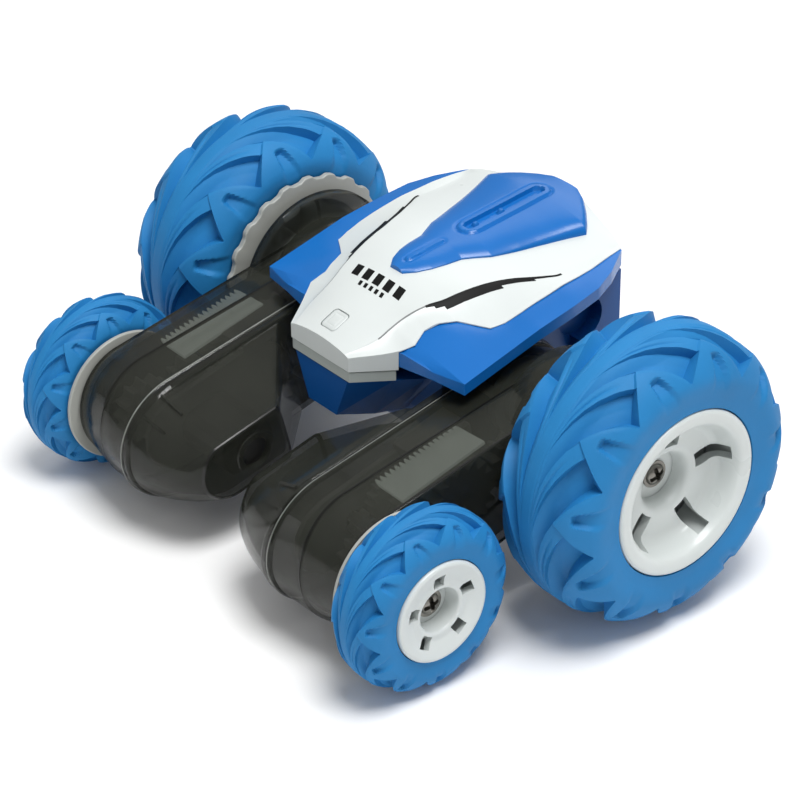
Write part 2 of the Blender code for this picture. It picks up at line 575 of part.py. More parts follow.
def deck_middle(y):
    """Height of the deck under the canopy, which keeps the canopy's edge at least 0.8 mm thick."""
    return min(wing_line(y), canopy_line(y, 4) - 0.8 - GAP)


def deck_bottom(x, y):
    return min(deck_middle(y), wing_line(y) - wing_droop(x, y)) - WING_THICKNESS


def wing_droop(x, y):
    """How far the wing falls below the deck's middle, towards its front corner."""
    outward = max(0.0, min(1.0, (abs(x) - 12.0) / 19.6))
    forward = max(0.0, min(1.0, (16.0 - y) / 20.0))
    return 1.8 * outward * forward


def wing_top(x, y):
    """Flat under the canopy; outside it, a slope from just under the canopy's edge to the wing's edge."""
    width, inner = interpolate(DECK_OUTLINE, y), canopy_edge(y)
    if abs(x) <= inner or width < inner + 2 * GAP:
        return deck_middle(y)
    outer = wing_line(y) - wing_droop(width, y)
    start = max(outer, canopy_line(y, 4) - 0.25)
    share = (abs(x) - inner - GAP) / (width - inner - GAP)
    return start + (outer - start) * share


def canopy_columns(y, width):
    crease = canopy_line(y, 1)
    return [0.0, 0.4 * crease, 0.75 * crease, crease, crease + 0.35 * (width - crease), width]


def make_canopy(materials):
    stations = sorted([row[0] for row in CANOPY_LINES] + [-11.0, JUNCTION_Y + 0.1])

    def lower(x, y):
        return 41.9 if y <= JUNCTION_Y else deck_middle(y) + GAP

    canopy = make_object("canopy", plan_solid(stations, canopy_edge, canopy_columns, canopy_top, lower),
                         materials["white"])
    inner_stations = [NOSE_Y + WALL] + [y for y in stations if NOSE_Y + WALL < y < 45] + [45, 50.0]
    hollow = plan_solid(inner_stations, lambda y: canopy_edge(y) - WALL,
                        lambda y, width: [0.0, 0.5 * width, 0.85 * width, width],
                        lambda x, y: canopy_top(x, y) - WALL, lambda x, y: 35.0)
    boolean(canopy, "DIFFERENCE", "canopy_hollow", hollow)
    half = BUTTON_SIZE / 2 + GAP
    boolean(canopy, "DIFFERENCE", "button_hole", box((-half, BUTTON_Y - half, 40), (half, BUTTON_Y + half, 60)))
    half = BUTTON_SIZE / 2
    foot = canopy_top(0, BUTTON_Y) - 2.6
    button = plan_solid((BUTTON_Y - half, BUTTON_Y + half), lambda y: half, lambda y, width: [0.0, width],
                        lambda x, y: canopy_top(x, y) - 0.2, lambda x, y: foot)
    make_object("power_button", button, materials["white"])


def make_nose_band(materials):
    stations = (NOSE_Y + 0.2, JUNCTION_Y)
    band = plan_solid(stations, lambda y: canopy_edge(y) - 0.2,
                      lambda y, width: [0.0, width], lambda x, y: 41.6, lambda x, y: 39.3)
    make_object("nose_band", band, materials["grey"])


def make_deck(materials):
    stations = sorted({y for y, _ in DECK_OUTLINE} | {row[0] for row in CANOPY_LINES if -7.0 < row[0] < 50.0})

    def deck_columns(y, width):
        inner = min(canopy_edge(y), width - 0.6)
        return [0.0, inner, inner + GAP, (inner + GAP + width) / 2, width]

    deck = plan_solid(stations, lambda y: interpolate(DECK_OUTLINE, y),
                      deck_columns, wing_top, deck_bottom)
    deck = make_object("deck", deck, materials["blue"])
    for name, x, y, seat in BODY_SCREWS:
        roof = deck_middle(y) - 0.7
        boss = turned_upright([(seat + WALL + GAP, BODY_BOSS_RADIUS), (roof, BODY_BOSS_RADIUS)], 10)
        boolean(deck, "UNION", f"{name}_boss", boss, None, (x, y, 0))
        thread = turned_upright([(seat, SCREW_HOLE), (roof - 2.0, SCREW_HOLE)], 8)
        boolean(deck, "DIFFERENCE", f"{name}_thread", thread, None, (x, y, 0))


def make_scoop(materials):
    stations = sorted([y for y, _ in SCOOP_OUTLINE] + [26.0, 34.0])

    def columns(y, width):
        return [0.0, 0.5 * width, 0.85 * width, width]

    def top(x, y):
        width = interpolate(SCOOP_OUTLINE, y)
        low = canopy_top(width, y) + 0.5
        return low + (interpolate(SCOOP_PROFILE, y) - low) * (1 - (x / width) ** 2)

    scoop = plan_solid(stations, lambda y: interpolate(SCOOP_OUTLINE, y), columns, top,
                       lambda x, y: min(canopy_top(x, y), interpolate(SCOOP_PROFILE, y) - 1.0) + GAP)
    make_object("hood_scoop", scoop, materials["blue"])


def turned_upright(profile, segments):
    """A pin like lathe's, but along z: the profile is a list of (height, radius)."""
    vertices, faces = lathe(profile, segments, open_ended=True)
    return [(y, z, x) for x, y, z in vertices], faces


def make_body_screws(materials):
    for name, x, y, seat in BODY_SCREWS:
        top = seat + 9.0
        profile = [(seat - 1.4, 2.0), (seat - 0.15, 2.5), (seat - 0.15, SCREW_RADIUS), (top, SCREW_RADIUS)]
        make_object(name, turned_upright(profile, 10), materials["steel"], None, (x, y, 0))


def side_profile_solid(outline, half_width):
    return join_rings([[(x, y, z) for y, z in outline] for x in (-half_width, half_width)])


def belly_outline(radius, floor, front, rear, roof):
    """Side view of the case between the arms: an arc about the pivot, cut flat at the floor."""
    outline = [(front, roof(front)), (front, REAR_AXLE_Z + 2)]
    start = math.pi + 0.12
    for step in range(13):
        angle = start + (math.pi - 0.24) * step / 12
        y = REAR_AXLE_Y + radius * math.cos(angle)
        z = REAR_AXLE_Z + radius * math.sin(angle)
        outline.append((y, max(z, floor)))
    outline += [(rear, REAR_AXLE_Z + 7), (rear, roof(rear))]
    return outline


def under_deck(y):
    return deck_middle(y) - WING_THICKNESS - GAP - 1.0


def make_tub(materials):
    """The blue case under the deck: belly, tapered nose and rear skirt, open at the top."""
    floor = REAR_AXLE_Z - 14.5
    tub = make_object("lower_tub", side_profile_solid(
        belly_outline(BELLY_RADIUS, floor, -0.5, 36.0, under_deck), BODY_HALF_WIDTH), materials["blue"])

    def nose(inset):
        sections = ((-15.0 + inset, 8.4, 4.5, 29.5), (JUNCTION_Y, 13.9, 7.6, 28.2),
                    (-2.0, 17.5, 8.6, 27.6), (0.5, 19.0, 9.0, 27.4))
        return join_rings([[(-top + inset, y, roof), (-low + inset, y, floor_z + inset),
                            (low - inset, y, floor_z + inset), (top - inset, y, roof)]
                           for y, top, low, floor_z in sections
                           for roof in [39.0 + (8.0 if inset else 0.0)]])

    boolean(tub, "UNION", "tub_nose", nose(0))
    rear_low, rear_high, skirt_floor = 32.0, 45.6, 33.2
    skirt = join_rings([[(-23.4, y, under_deck(y) - 0.2), (-23.4, y, low), (23.4, y, low),
                         (23.4, y, under_deck(y) - 0.2)]
                        for y, low in ((rear_low, 40.5), (34.2, 40.3), (34.5, skirt_floor),
                                       (rear_high, skirt_floor))])
    boolean(tub, "UNION", "tub_skirt", skirt)
    hollow = side_profile_solid(belly_outline(BELLY_RADIUS - WALL, floor + WALL, 1.0, 34.5,
                                              lambda y: 70.0), BODY_HALF_WIDTH - WALL)
    boolean(tub, "DIFFERENCE", "tub_hollow", hollow)
    boolean(tub, "DIFFERENCE", "nose_hollow", nose(WALL))
    seat = BODY_SCREWS[1][3]
    boolean(tub, "DIFFERENCE", "skirt_hollow", box((-18.9, 37.5, seat + WALL), (18.9, rear_high - WALL, 70)))
    boolean(tub, "DIFFERENCE", "skirt_recess", box((-11.9, 37.5, 30), (11.9, rear_high - WALL, seat)))
    for side, x_low, x_high in (("left", 20.0, 30.0), ("right", -30.0, -20.0)):
        boolean(tub, "DIFFERENCE", f"skirt_arch_{side}", pin(x_low, x_high, 5.0, 24), None, (0, 35.5, 41.5))
    boolean(tub, "DIFFERENCE", "pivot_bore", pin(-30, 30, PIVOT_RADIUS + 0.3, 24), None,
            (0, REAR_AXLE_Y, REAR_AXLE_Z))
    boolean(tub, "DIFFERENCE", "battery_door", box((-15.3, REAR_AXLE_Y - 7.3, 0),
                                                   (15.3, REAR_AXLE_Y + 7.3, floor + WALL + 1)))
    for name, x, y, seat in BODY_SCREWS:
        hole = turned_upright([(seat - 6.0, SCREW_HOLE), (seat + 4.0, SCREW_HOLE)], 8)
        boolean(tub, "DIFFERENCE", f"{name}_hole", hole, None, (x, y, 0))
        pocket = turned_upright([(seat - 6.0, 3.0), (seat, 3.0)], 10)
        boolean(tub, "DIFFERENCE", f"{name}_pocket", pocket, None, (x, y, 0))
    cover = box((-15.0, REAR_AXLE_Y - 7.0, floor), (15.0, REAR_AXLE_Y + 7.0, floor + WALL))
    make_object("battery_cover", cover, materials["blue"])


def make_electrics(materials):
    make_object("battery", box((-16.5, REAR_AXLE_Y - 13.0, 23.8), (16.5, REAR_AXLE_Y + 13.0, 33.6)),
                materials["battery"])
    make_object("circuit_board", box((-16.0, 2.5, 38.0), (16.0, 32.5, 39.4)), materials["board"])


def make_pivots(hand, side, materials):
    """The hollow journal an arm turns on, and the ring that keeps the arm on it."""
    rear = (0, REAR_AXLE_Y, REAR_AXLE_Z)
    wall_in = BODY_HALF_WIDTH - WALL
    journal = [(wall_in - 1.8, 4.2), (wall_in - 1.8, 8.0), (wall_in - 0.2, 8.0), (wall_in - 0.2, PIVOT_RADIUS),
               (SEAM_X + 3.6, PIVOT_RADIUS), (SEAM_X + 3.6, 4.2)]
    make_object(f"pivot_journal_{hand}", lathe(journal, 18), materials["grey"], None, rear, side)
    ring = [(SEAM_X + 0.3, PIVOT_RADIUS + 0.15), (SEAM_X + 0.3, 8.6), (SEAM_X + 2.3, 8.6),
            (SEAM_X + 2.3, PIVOT_RADIUS + 0.15)]
    make_object(f"pivot_ring_{hand}", lathe(ring, 18), materials["grey"], None, rear, side)


# ---- The car ------------------------------------------------------------------------------------
def main():
    clear_scene()
    materials = make_materials()
    for hand, side in (("left", 1), ("right", -1)):
        frame = make_empty(f"arm_frame_{hand}", (0, FRONT_AXLE_Y, FRONT_AXLE_Z), ARM_TILT)
        make_outer_shell(hand, side, frame, materials["smoke"])
        make_inner_shell(hand, side, frame, materials["smoke"])
        make_gear_plate(hand, side, frame, materials["smoke"])
        make_motor(hand, side, frame, materials["steel"])
        make_gears(hand, side, frame, materials)
        make_housing_screws(hand, side, frame, materials["steel"])
        make_wheel(SMALL_WHEEL, hand, side, (SMALL_WHEEL_X, FRONT_AXLE_Y, FRONT_AXLE_Z), materials)
        make_wheel(BIG_WHEEL, hand, side, (BIG_WHEEL_X, REAR_AXLE_Y, REAR_AXLE_Z), materials)
        make_pivots(hand, side, materials)
    make_tub(materials)
    make_deck(materials)
    make_nose_band(materials)
    make_canopy(materials)
    make_scoop(materials)
    make_electrics(materials)
    make_body_screws(materials)


main()
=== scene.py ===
"""Looks of the double-sided stunt car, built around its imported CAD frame.

Lengths are millimetres in the row frame (+z up, -y the car's front, +x the car's left) until
mesh_of scales them to metres. Wheels are built about their own axis, and arms in their own frame:
x across, s back along the line from the front axle to the rear axle, h square to that line.
Apart from the gear covers' teeth and the turn of the treads, right is left mirrored about x = 0.
"""
import math

import bmesh
import bpy
import numpy as np
from mathutils import Matrix, Vector


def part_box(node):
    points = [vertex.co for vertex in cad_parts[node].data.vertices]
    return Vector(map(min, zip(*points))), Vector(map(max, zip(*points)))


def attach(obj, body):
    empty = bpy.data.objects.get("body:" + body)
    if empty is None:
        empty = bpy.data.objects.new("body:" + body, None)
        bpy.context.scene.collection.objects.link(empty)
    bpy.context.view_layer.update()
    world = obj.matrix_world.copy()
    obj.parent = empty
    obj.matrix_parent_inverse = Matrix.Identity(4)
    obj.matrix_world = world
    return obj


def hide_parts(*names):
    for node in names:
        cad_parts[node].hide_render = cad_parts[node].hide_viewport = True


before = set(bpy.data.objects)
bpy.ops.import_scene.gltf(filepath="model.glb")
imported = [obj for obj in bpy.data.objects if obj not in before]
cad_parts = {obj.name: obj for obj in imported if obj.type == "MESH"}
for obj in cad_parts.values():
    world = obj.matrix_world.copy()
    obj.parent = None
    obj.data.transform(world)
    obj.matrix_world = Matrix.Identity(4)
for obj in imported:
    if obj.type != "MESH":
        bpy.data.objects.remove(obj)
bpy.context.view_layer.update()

MM = 0.001
HANDS = (("left", 1), ("right", -1))


# ---- Places read from the frame ------------------------------
def centre_of(node):
    low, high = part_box(node)
    return (low + high) / 2 / MM


def span_of(node):
    low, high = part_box(node)
    return (high - low) / MM


BIG_CENTRE = centre_of("big_tyre_left")
SMALL_CENTRE = centre_of("small_tyre_left")
BIG_RADIUS = span_of("big_tyre_left").z / 2
SMALL_RADIUS = span_of("small_tyre_left").z / 2
BIG_HALF_WIDTH = span_of("big_tyre_left").x / 2
SMALL_HALF_WIDTH = span_of("small_tyre_left").x / 2
AXLE_DISTANCE = math.hypot(BIG_CENTRE.y - SMALL_CENTRE.y, BIG_CENTRE.z - SMALL_CENTRE.z)
ARM_TILT = math.asin((BIG_CENTRE.z - SMALL_CENTRE.z) / AXLE_DISTANCE)
TAIL_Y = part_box("canopy")[1].y / MM
NOSE_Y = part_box("canopy")[0].y / MM


# ---- Mesh helpers --------------------------------------------
def mesh_of(name, shape, closed=True):
    """A mesh from (vertices, faces) in millimetres; a closed one gets its faces turned outwards."""
    vertices, faces = shape
    mesh = bpy.data.meshes.new(name)
    mesh.from_pydata((np.asarray(vertices, float) * MM).tolist(), [], [tuple(face) for face in faces])
    if closed:
        work = bmesh.new()
        work.from_mesh(mesh)
        bmesh.ops.recalc_face_normals(work, faces=work.faces)
        work.to_mesh(mesh)
        work.free()
    return mesh


def make_piece(name, shape, material, body, replaces=(), smooth=30.0, closed=True):
    """Make a piece of a shape; smooth is the angle in degrees above which an edge is sharp."""
    mesh = mesh_of(name, shape, closed)
    mesh.materials.append(material)
    mesh.shade_smooth()
    mesh.set_sharp_from_angle(angle=math.radians(smooth))
    piece = bpy.data.objects.new(name, mesh)
    bpy.context.scene.collection.objects.link(piece)
    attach(piece, body)
    if replaces:
        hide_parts(*replaces)
    return piece


def moved(shape, offset):
    return np.asarray(shape[0], float) + np.asarray(offset, float), shape[1]


def mirrored(shape):
    """The same shape on the other side of x = 0, with its faces still pointing out."""
    return np.asarray(shape[0], float) * (-1, 1, 1), [tuple(reversed(face)) for face in shape[1]]


def on_side(shape, side):
    return shape if side > 0 else mirrored(shape)


def joined(*shapes):
    vertices, faces, start = [], [], 0
    for points, polygons in shapes:
        vertices.extend(np.asarray(points, float).tolist())
        faces.extend(tuple(index + start for index in face) for face in polygons)
        start += len(points)
    return vertices, faces


def grid_faces(rows, columns, wrap_rows=False, wrap_columns=False):
    faces = []
    for row in range(rows if wrap_rows else rows - 1):
        here, there = row * columns, (row + 1) % rows * columns
        for column in range(columns if wrap_columns else columns - 1):
            beside = (column + 1) % columns
            faces.append((here + column, here + beside, there + beside, there + column))
    return faces


def ring_solid(rings):
    """Bridge closed rings of equal length, with flat caps."""
    count, vertices = len(rings[0]), np.concatenate(rings)
    caps = [tuple(reversed(range(count))), tuple(range(len(vertices) - count, len(vertices)))]
    return vertices, grid_faces(len(rings), count, wrap_columns=True) + caps


def ring_loop(rings):
    """Bridge closed rings of equal length, and the last one back to the first."""
    return np.concatenate(rings), grid_faces(len(rings), len(rings[0]), wrap_rows=True, wrap_columns=True)


def full_turn(count):
    return np.arange(count) * 2 * math.pi / count


def around(x, radius, angles):
    """Points about the x axis, one for each angle."""
    return np.stack([x + 0 * angles, radius * np.cos(angles), radius * np.sin(angles)], axis=1)


def turned_rings(profile, segments):
    """A profile of (x, radius) turned about the x axis."""
    return [around(x, radius, full_turn(segments)) for x, radius in profile]


def smooth_curve(points, values):
    """Monotone cubic reading of (place, result) pairs, which never overshoots its points."""
    places = np.array([point[0] for point in points], float)
    results = np.array([point[1] for point in points], float)
    widths, slopes = np.diff(places), np.diff(results) / np.diff(places)
    tangents = np.concatenate([[slopes[0]], (slopes[1:] + slopes[:-1]) / 2, [slopes[-1]]])
    for i, slope in enumerate(slopes):
        for end in (i, i + 1):
            if slope == 0 or tangents[end] / slope < 0:
                tangents[end] = 0.0
            elif abs(tangents[end]) > 3 * abs(slope):
                tangents[end] = 3 * slope
    values = np.clip(np.asarray(values, float), places[0], places[-1])
    span = np.clip(np.searchsorted(places, values) - 1, 0, len(widths) - 1)
    t, width = (values - places[span]) / widths[span], widths[span]
    return (results[span] * (1 + 2 * t) * (1 - t) ** 2 + tangents[span] * width * t * (1 - t) ** 2
            + results[span + 1] * t ** 2 * (3 - 2 * t) + tangents[span + 1] * width * t ** 2 * (t - 1))


def straight_curve(points, values):
    return np.interp(values, [point[0] for point in points], [point[1] for point in points])


def ramp(value, low, high):
    """0 below low, 1 above high, and a smooth step between."""
    t = np.clip((np.asarray(value, float) - low) / (high - low), 0, 1)
    return t * t * (3 - 2 * t)


def cut_shape(base, steps):
    """Union and difference a closed shape with others in turn: steps are (operation, shape)."""
    made = []
    for shape in [base] + [shape for _, shape in steps]:
        made.append(bpy.data.objects.new("cut", mesh_of("cut", shape)))
        bpy.context.scene.collection.objects.link(made[-1])
    for (operation, _), tool in zip(steps, made[1:]):
        modifier = made[0].modifiers.new("cut", "BOOLEAN")
        modifier.operation = operation
        modifier.object = tool
        modifier.solver = "EXACT"
    graph = bpy.context.evaluated_depsgraph_get()
    mesh = bpy.data.meshes.new_from_object(made[0].evaluated_get(graph))
    for thing in made:
        bpy.data.objects.remove(thing, do_unlink=True)
    vertices = np.array([vertex.co for vertex in mesh.vertices]) / MM
    return vertices, [tuple(polygon.vertices) for polygon in mesh.polygons]


def bevelled(piece, width, angle=40.0, segments=2):
    modifier = piece.modifiers.new("Bevel", "BEVEL")
    modifier.width = width * MM
    modifier.segments = segments
    modifier.limit_method = "ANGLE"
    modifier.angle_limit = math.radians(angle)
    modifier.harden_normals = True


# ---- Materials -----------------------------------------------
def moulded(name, colour, roughness, drift=0.05, drift_scale=60.0, grain=0.02, grain_scale=1400.0,
            metallic=0.0, alpha=1.0, specular=0.5, glow=0.0, glow_colour=(1, 1, 1)):
    """A moulded or turned surface: colour that drifts a little, uneven gloss and a fine grain."""
    material = bpy.data.materials.new(name)
    material.use_nodes = True
    nodes, links = material.node_tree.nodes, material.node_tree.links
    shader = nodes["Principled BSDF"]
    place = nodes.new("ShaderNodeTexCoord").outputs["Object"]

    def noise(scale, detail):
        node = nodes.new("ShaderNodeTexNoise")
        node.inputs["Scale"].default_value = scale
        node.inputs["Detail"].default_value = detail
        links.new(place, node.inputs["Vector"])
        return node.outputs["Fac"]

    slow, fine = noise(drift_scale, 3.0), noise(grain_scale, 2.0)
    shades = nodes.new("ShaderNodeValToRGB")
    for stop, share in zip(shades.color_ramp.elements, (1 - drift, 1 + drift)):
        stop.color = (*[min(1.0, channel * share) for channel in colour], 1.0)
    shades.color_ramp.elements[0].position = 0.3
    shades.color_ramp.elements[1].position = 0.7
    links.new(slow, shades.inputs["Fac"])
    links.new(shades.outputs["Color"], shader.inputs["Base Color"])
    gloss = nodes.new("ShaderNodeMapRange")
    gloss.inputs["To Min"].default_value = roughness * 0.9
    gloss.inputs["To Max"].default_value = min(1.0, roughness * 1.15)
    links.new(slow, gloss.inputs["Value"])
    links.new(gloss.outputs["Result"], shader.inputs["Roughness"])
    bump = nodes.new("ShaderNodeBump")
    bump.inputs["Strength"].default_value = 1.0
    bump.inputs["Distance"].default_value = grain * MM
    links.new(fine, bump.inputs["Height"])
    links.new(bump.outputs["Normal"], shader.inputs["Normal"])
    shader.inputs["Metallic"].default_value = metallic
    shader.inputs["Alpha"].default_value = alpha
    shader.inputs["Specular IOR Level"].default_value = specular
    # Emission: on the gear cover it is a painted glow, and on the floor it only lifts the plain floor.
    shader.inputs["Emission Color"].default_value = (*glow_colour, 1)
    shader.inputs["Emission Strength"].default_value = glow
    return material


RUBBER = moulded("tyre_rubber", (0.016, 0.200, 0.480), 0.60, drift=0.08, grain=0.03, grain_scale=900,
                 specular=0.3)
WHITE = moulded("white_gloss", (0.66, 0.70, 0.69), 0.28, drift=0.02, grain=0.006)
BUTTON_WHITE = moulded("button_white", (0.63, 0.67, 0.66), 0.34, drift=0.02, grain=0.006)
BLUE = moulded("blue_gloss", (0.004, 0.140, 0.480), 0.25, drift=0.05, grain=0.008, specular=0.4)
DEEP_BLUE = moulded("case_blue", (0.004, 0.080, 0.300), 0.32, drift=0.05, grain=0.01, specular=0.3)
SMOKE = moulded("smoked_shell", (0.028, 0.030, 0.023), 0.12, drift=0.2, drift_scale=90, grain=0.0001,
                grain_scale=240, alpha=0.55, specular=0.45)
# Pale grey for the seam bead: a painted highlight along the seam's lip, much lighter than the smoked shell
# it sits on.
SEAM_HIGHLIGHT_PAINT = moulded("painted_seam_highlight", (0.26, 0.27, 0.25), 0.12, drift=0.2, drift_scale=300, grain=0.002)
# Near black for thin strips in the arms' seam gap, ridge groove and along their edges: painted shade for
# the dark look of the shell's gaps and edges.
EDGE_SHADE_BLACK = moulded("painted_edge_shade", (0.008, 0.008, 0.007), 0.25, drift=0.1, grain=0.002)
# Grey is a dimmed copy of the white plastic: on the nose band it is painted shade on the white shell's
# set-back lower lip. It also goes on the pivot parts.
GREY = moulded("grey_band", (0.42, 0.46, 0.44), 0.38, drift=0.03, grain=0.01)
PALE_GREY = moulded("flange_grey", (0.40, 0.41, 0.38), 0.42, drift=0.03, grain=0.01)
# Pale nylon with an emission: the glow is painted light that brightens the cover seen through the smoked
# shell.
COVER_NYLON_PAINTED_GLOW = moulded("cover_nylon_painted_glow", (0.80, 0.86, 0.78), 0.45, drift=0.06, drift_scale=200, grain=0.01,
                      glow=0.3, glow_colour=(0.8, 0.9, 0.8))
GEAR_GREY = moulded("gear_grey_nylon", (0.20, 0.20, 0.18), 0.45, drift=0.04, grain=0.01)
STEEL = moulded("plated_steel", (0.60, 0.59, 0.56), 0.30, drift=0.06, drift_scale=300, grain=0.01,
                metallic=1.0)
DARK_STEEL = moulded("screw_steel", (0.22, 0.21, 0.19), 0.32, drift=0.1, drift_scale=300, grain=0.01,
                     metallic=1.0)
MOTOR_CAN = moulded("motor_can", (0.10, 0.10, 0.095), 0.45, drift=0.1, grain=0.01, metallic=0.8)
BLACK_INK = moulded("black_print", (0.004, 0.004, 0.004), 0.5, drift=0.1, grain=0.004, specular=0.15)
GREY_INK = moulded("grey_print", (0.16, 0.17, 0.17), 0.40, drift=0.1, grain=0.004)
BOARD = moulded("solder_mask", (0.02, 0.16, 0.07), 0.45, drift=0.1, grain=0.02)
WRAP = moulded("battery_wrap", (0.26, 0.30, 0.36), 0.40, drift=0.06, grain=0.01)


# ---- Tyre tread ----------------------------------------------
# Every side of a tyre has 11 petals. v runs from 0 on the crown's middle line to 1 at the rim, and
# angles are degrees back from a petal's tip. A petal is a leaf on the sidewall: its upper edge is a
# spiral that runs on over the crown as a long blade, and its crisp edge drops to the valley floor.
PETALS = 11
PITCH = 360 / PETALS
TIP_V = 0.28
SPIRAL = 18.8                   # degrees of the upper edge for each factor e in v
CRISP_SLOPE = 36.0              # degrees of the crisp edge for each unit of v
BLADE_SPREAD = 11.5             # degrees between a blade's upper and lower edges
WALL_SPREAD = 0.8               # degrees taken by a step between two levels
CORE_V = 0.035                  # inside this the blades have merged into one rib
SECTION_POWER = 2.4             # superellipse of the tyre's section
BLADE_DROP = 0.11               # how far below the envelope the blades lie on the crown, in depths


def upper_edge(v):
    return -SPIRAL * np.log(np.maximum(v, CORE_V) / TIP_V)


def petal_columns(steps):
    """Degrees behind the upper edge at which the mesh has its columns, within one pitch."""
    blade = np.linspace(0, BLADE_SPREAD, round(steps * 0.36))
    blade = np.insert(blade, 1, WALL_SPREAD * 0.6)
    valley = np.linspace(BLADE_SPREAD + WALL_SPREAD, PITCH - WALL_SPREAD, round(steps * 0.64))
    return np.concatenate([blade, valley])


def crisp_v(columns):
    """For each column, the v at which the crisp edge crosses it."""
    samples = np.linspace(TIP_V, 0.95, 2000)
    behind = CRISP_SLOPE * (samples - TIP_V) - upper_edge(samples)
    return np.interp(columns, behind, samples)


def tread_height(columns, v, on_leaf):
    """Height over the tyre's envelope, in valley depths: 0 on a leaf and -1 on a valley floor."""
    behind_tip = columns + upper_edge(v)
    spread = np.clip((v - 0.45) / 0.42, 0, 1)
    centre, half = -2.6 - 2.0 * spread, 2.1 + 4.6 * spread
    inside = np.clip((1 - abs(behind_tip - centre) / half) / 0.40, 0, 1)
    dent = 0.55 * (1 - spread) ** 0.9 * inside * ramp(v, 0.44, 0.50)
    leaf = -dent - 0.05 * ramp(columns, 2.0, 0.0) * ramp(v, 0.70, 0.55)
    share = columns / BLADE_SPREAD
    groove = np.exp(-((share - 0.55) / 0.12) ** 2) * ramp(v, 0.04, 0.10) * ramp(v, 0.30, 0.16)
    blade = -0.12 - 0.07 * share - 0.10 * groove
    floor_share = (columns - BLADE_SPREAD) / (PITCH - BLADE_SPREAD)
    floor = -(0.20 + 0.80 * ramp(v, 0.0, 0.30)) * (1 - 0.10 * np.cos(math.pi * floor_share))
    floor = np.maximum(floor, -1.0)
    core = ramp(v, CORE_V, CORE_V * 2.6)
    low = np.where(columns <= BLADE_SPREAD + 1e-6, blade, floor)
    return np.where(on_leaf, leaf, low * core - 0.18 * (1 - core))


def tyre_shape(radius, half_width, seat, flange_radius, flange_x, depth, steps):
    """Treaded tyre about x, outer side +x, with a petal tip at angle 0; faces are triangles."""
    columns = petal_columns(steps)
    leaf_v = crisp_v(columns)
    crown_v = np.geomspace(CORE_V, TIP_V, max(8, steps // 4))[:-1]
    ring_v = np.linspace(leaf_v[-1], 1, 8)[1:]
    half_v = np.concatenate([[0.0, CORE_V * 0.6], crown_v, leaf_v, ring_v])
    first_leaf = 2 + len(crown_v)
    sides = [(v, j, 1) for j, v in reversed(list(enumerate(half_v)))]
    sides += [(v, j, -1) for j, v in enumerate(half_v) if j > 0]
    rows = []
    index = np.arange(len(columns))
    all_columns = np.concatenate([columns + PITCH * petal for petal in range(PETALS)])
    for v, j, side in sides:
        on_leaf = np.tile((j - first_leaf) >= index, PETALS)
        height = depth * tread_height(np.tile(columns, PETALS), v, on_leaf)
        turn = math.pi / 2 * (1 - v)
        across, up = math.cos(turn) ** (2 / SECTION_POWER), math.sin(turn) ** (2 / SECTION_POWER)
        slope = np.array([across ** (SECTION_POWER - 1) / half_width,
                          up ** (SECTION_POWER - 1) / (radius - seat)])
        slope /= np.linalg.norm(slope)
        tuck = 1 - 0.115 * float(ramp(v, 0.70, 1.0))
        x = side * (half_width * across * tuck + height * slope[0])
        r = seat + (radius - seat) * up + height * slope[1]
        if side < 0:
            seated = 1 - ramp(r, flange_radius + 1.2, flange_radius + 2.4)
            x = np.maximum(x, x * (1 - seated) + (flange_x + 0.15) * seated)
        angle = np.radians(all_columns + float(upper_edge(v)))
        rows.append(around(x, r, angle))
    angle = np.radians(all_columns + float(upper_edge(1.0)))
    rows += [around(x, seat - 0.1, angle) for x in (flange_x + 0.2, half_width * 0.85)]
    count, faces = len(all_columns), []
    for row in range(len(rows)):
        here, there = row * count, (row + 1) % len(rows) * count
        falling = row < len(half_v) - 1
        for column in range(count):
            beside = (column + 1) % count
            a, b, c, d = here + column, here + beside, there + beside, there + column
            faces += [(a, b, d), (b, c, d)] if falling else [(a, b, c), (a, c, d)]
    return np.concatenate(rows), faces


def turned_about_x(shape, degrees):
    c, s = math.cos(math.radians(degrees)), math.sin(math.radians(degrees))
    x, y, z = np.asarray(shape[0], float).T
    return np.stack([x, y * c - z * s, y * s + z * c], axis=1), shape[1]


# ---- Rims ----------------------------------------------------
WINDOWS = 5
RIM_COLUMNS = 180               # a multiple of the windows
FLANGE_COLUMNS = 264            # a multiple of the flange's teeth
FLANGE_TOOTH = 0.75
COLUMNS_PER_WINDOW = RIM_COLUMNS // WINDOWS
WINDOW_HALF_COLUMNS = 6


def rim_face(profile, window, narrowing):
    """Outer skin of a rim from its barrel in to its bore, with windows between two radii left open."""
    rows, faces = [], []
    step = 360 / RIM_COLUMNS
    offsets = ((np.arange(RIM_COLUMNS) + COLUMNS_PER_WINDOW / 2) % COLUMNS_PER_WINDOW
               - COLUMNS_PER_WINDOW / 2)
    near = 1 - ramp(abs(offsets), WINDOW_HALF_COLUMNS, COLUMNS_PER_WINDOW / 2)
    for x, radius in profile:
        squeeze = 1 - narrowing * ramp(radius, window[0], window[1]) * near
        angle = np.radians((np.arange(RIM_COLUMNS) - offsets * (1 - squeeze)) * step)
        rows.append(around(x, radius, angle))
    radii = [radius for _, radius in profile]
    for row in range(len(rows) - 1):
        middle = (radii[row] + radii[row + 1]) / 2
        for column in range(RIM_COLUMNS):
            beside = (column + 1) % RIM_COLUMNS
            if window[0] < middle < window[1] and abs(offsets[column] + 0.5) < WINDOW_HALF_COLUMNS:
                continue
            here, there = row * RIM_COLUMNS, (row + 1) * RIM_COLUMNS
            faces.append((here + column, here + beside, there + beside, there + column))
    return np.concatenate(rows), faces


def dense(profile, step):
    """The same profile with extra points so that no two are further apart than step."""
    result = [profile[0]]
    for (x0, r0), (x1, r1) in zip(profile, profile[1:]):
        parts = max(1, math.ceil(math.hypot(x1 - x0, r1 - r0) / step))
        result += [(x0 + (x1 - x0) * i / parts, r0 + (r1 - r0) * i / parts) for i in range(1, parts + 1)]
    return result


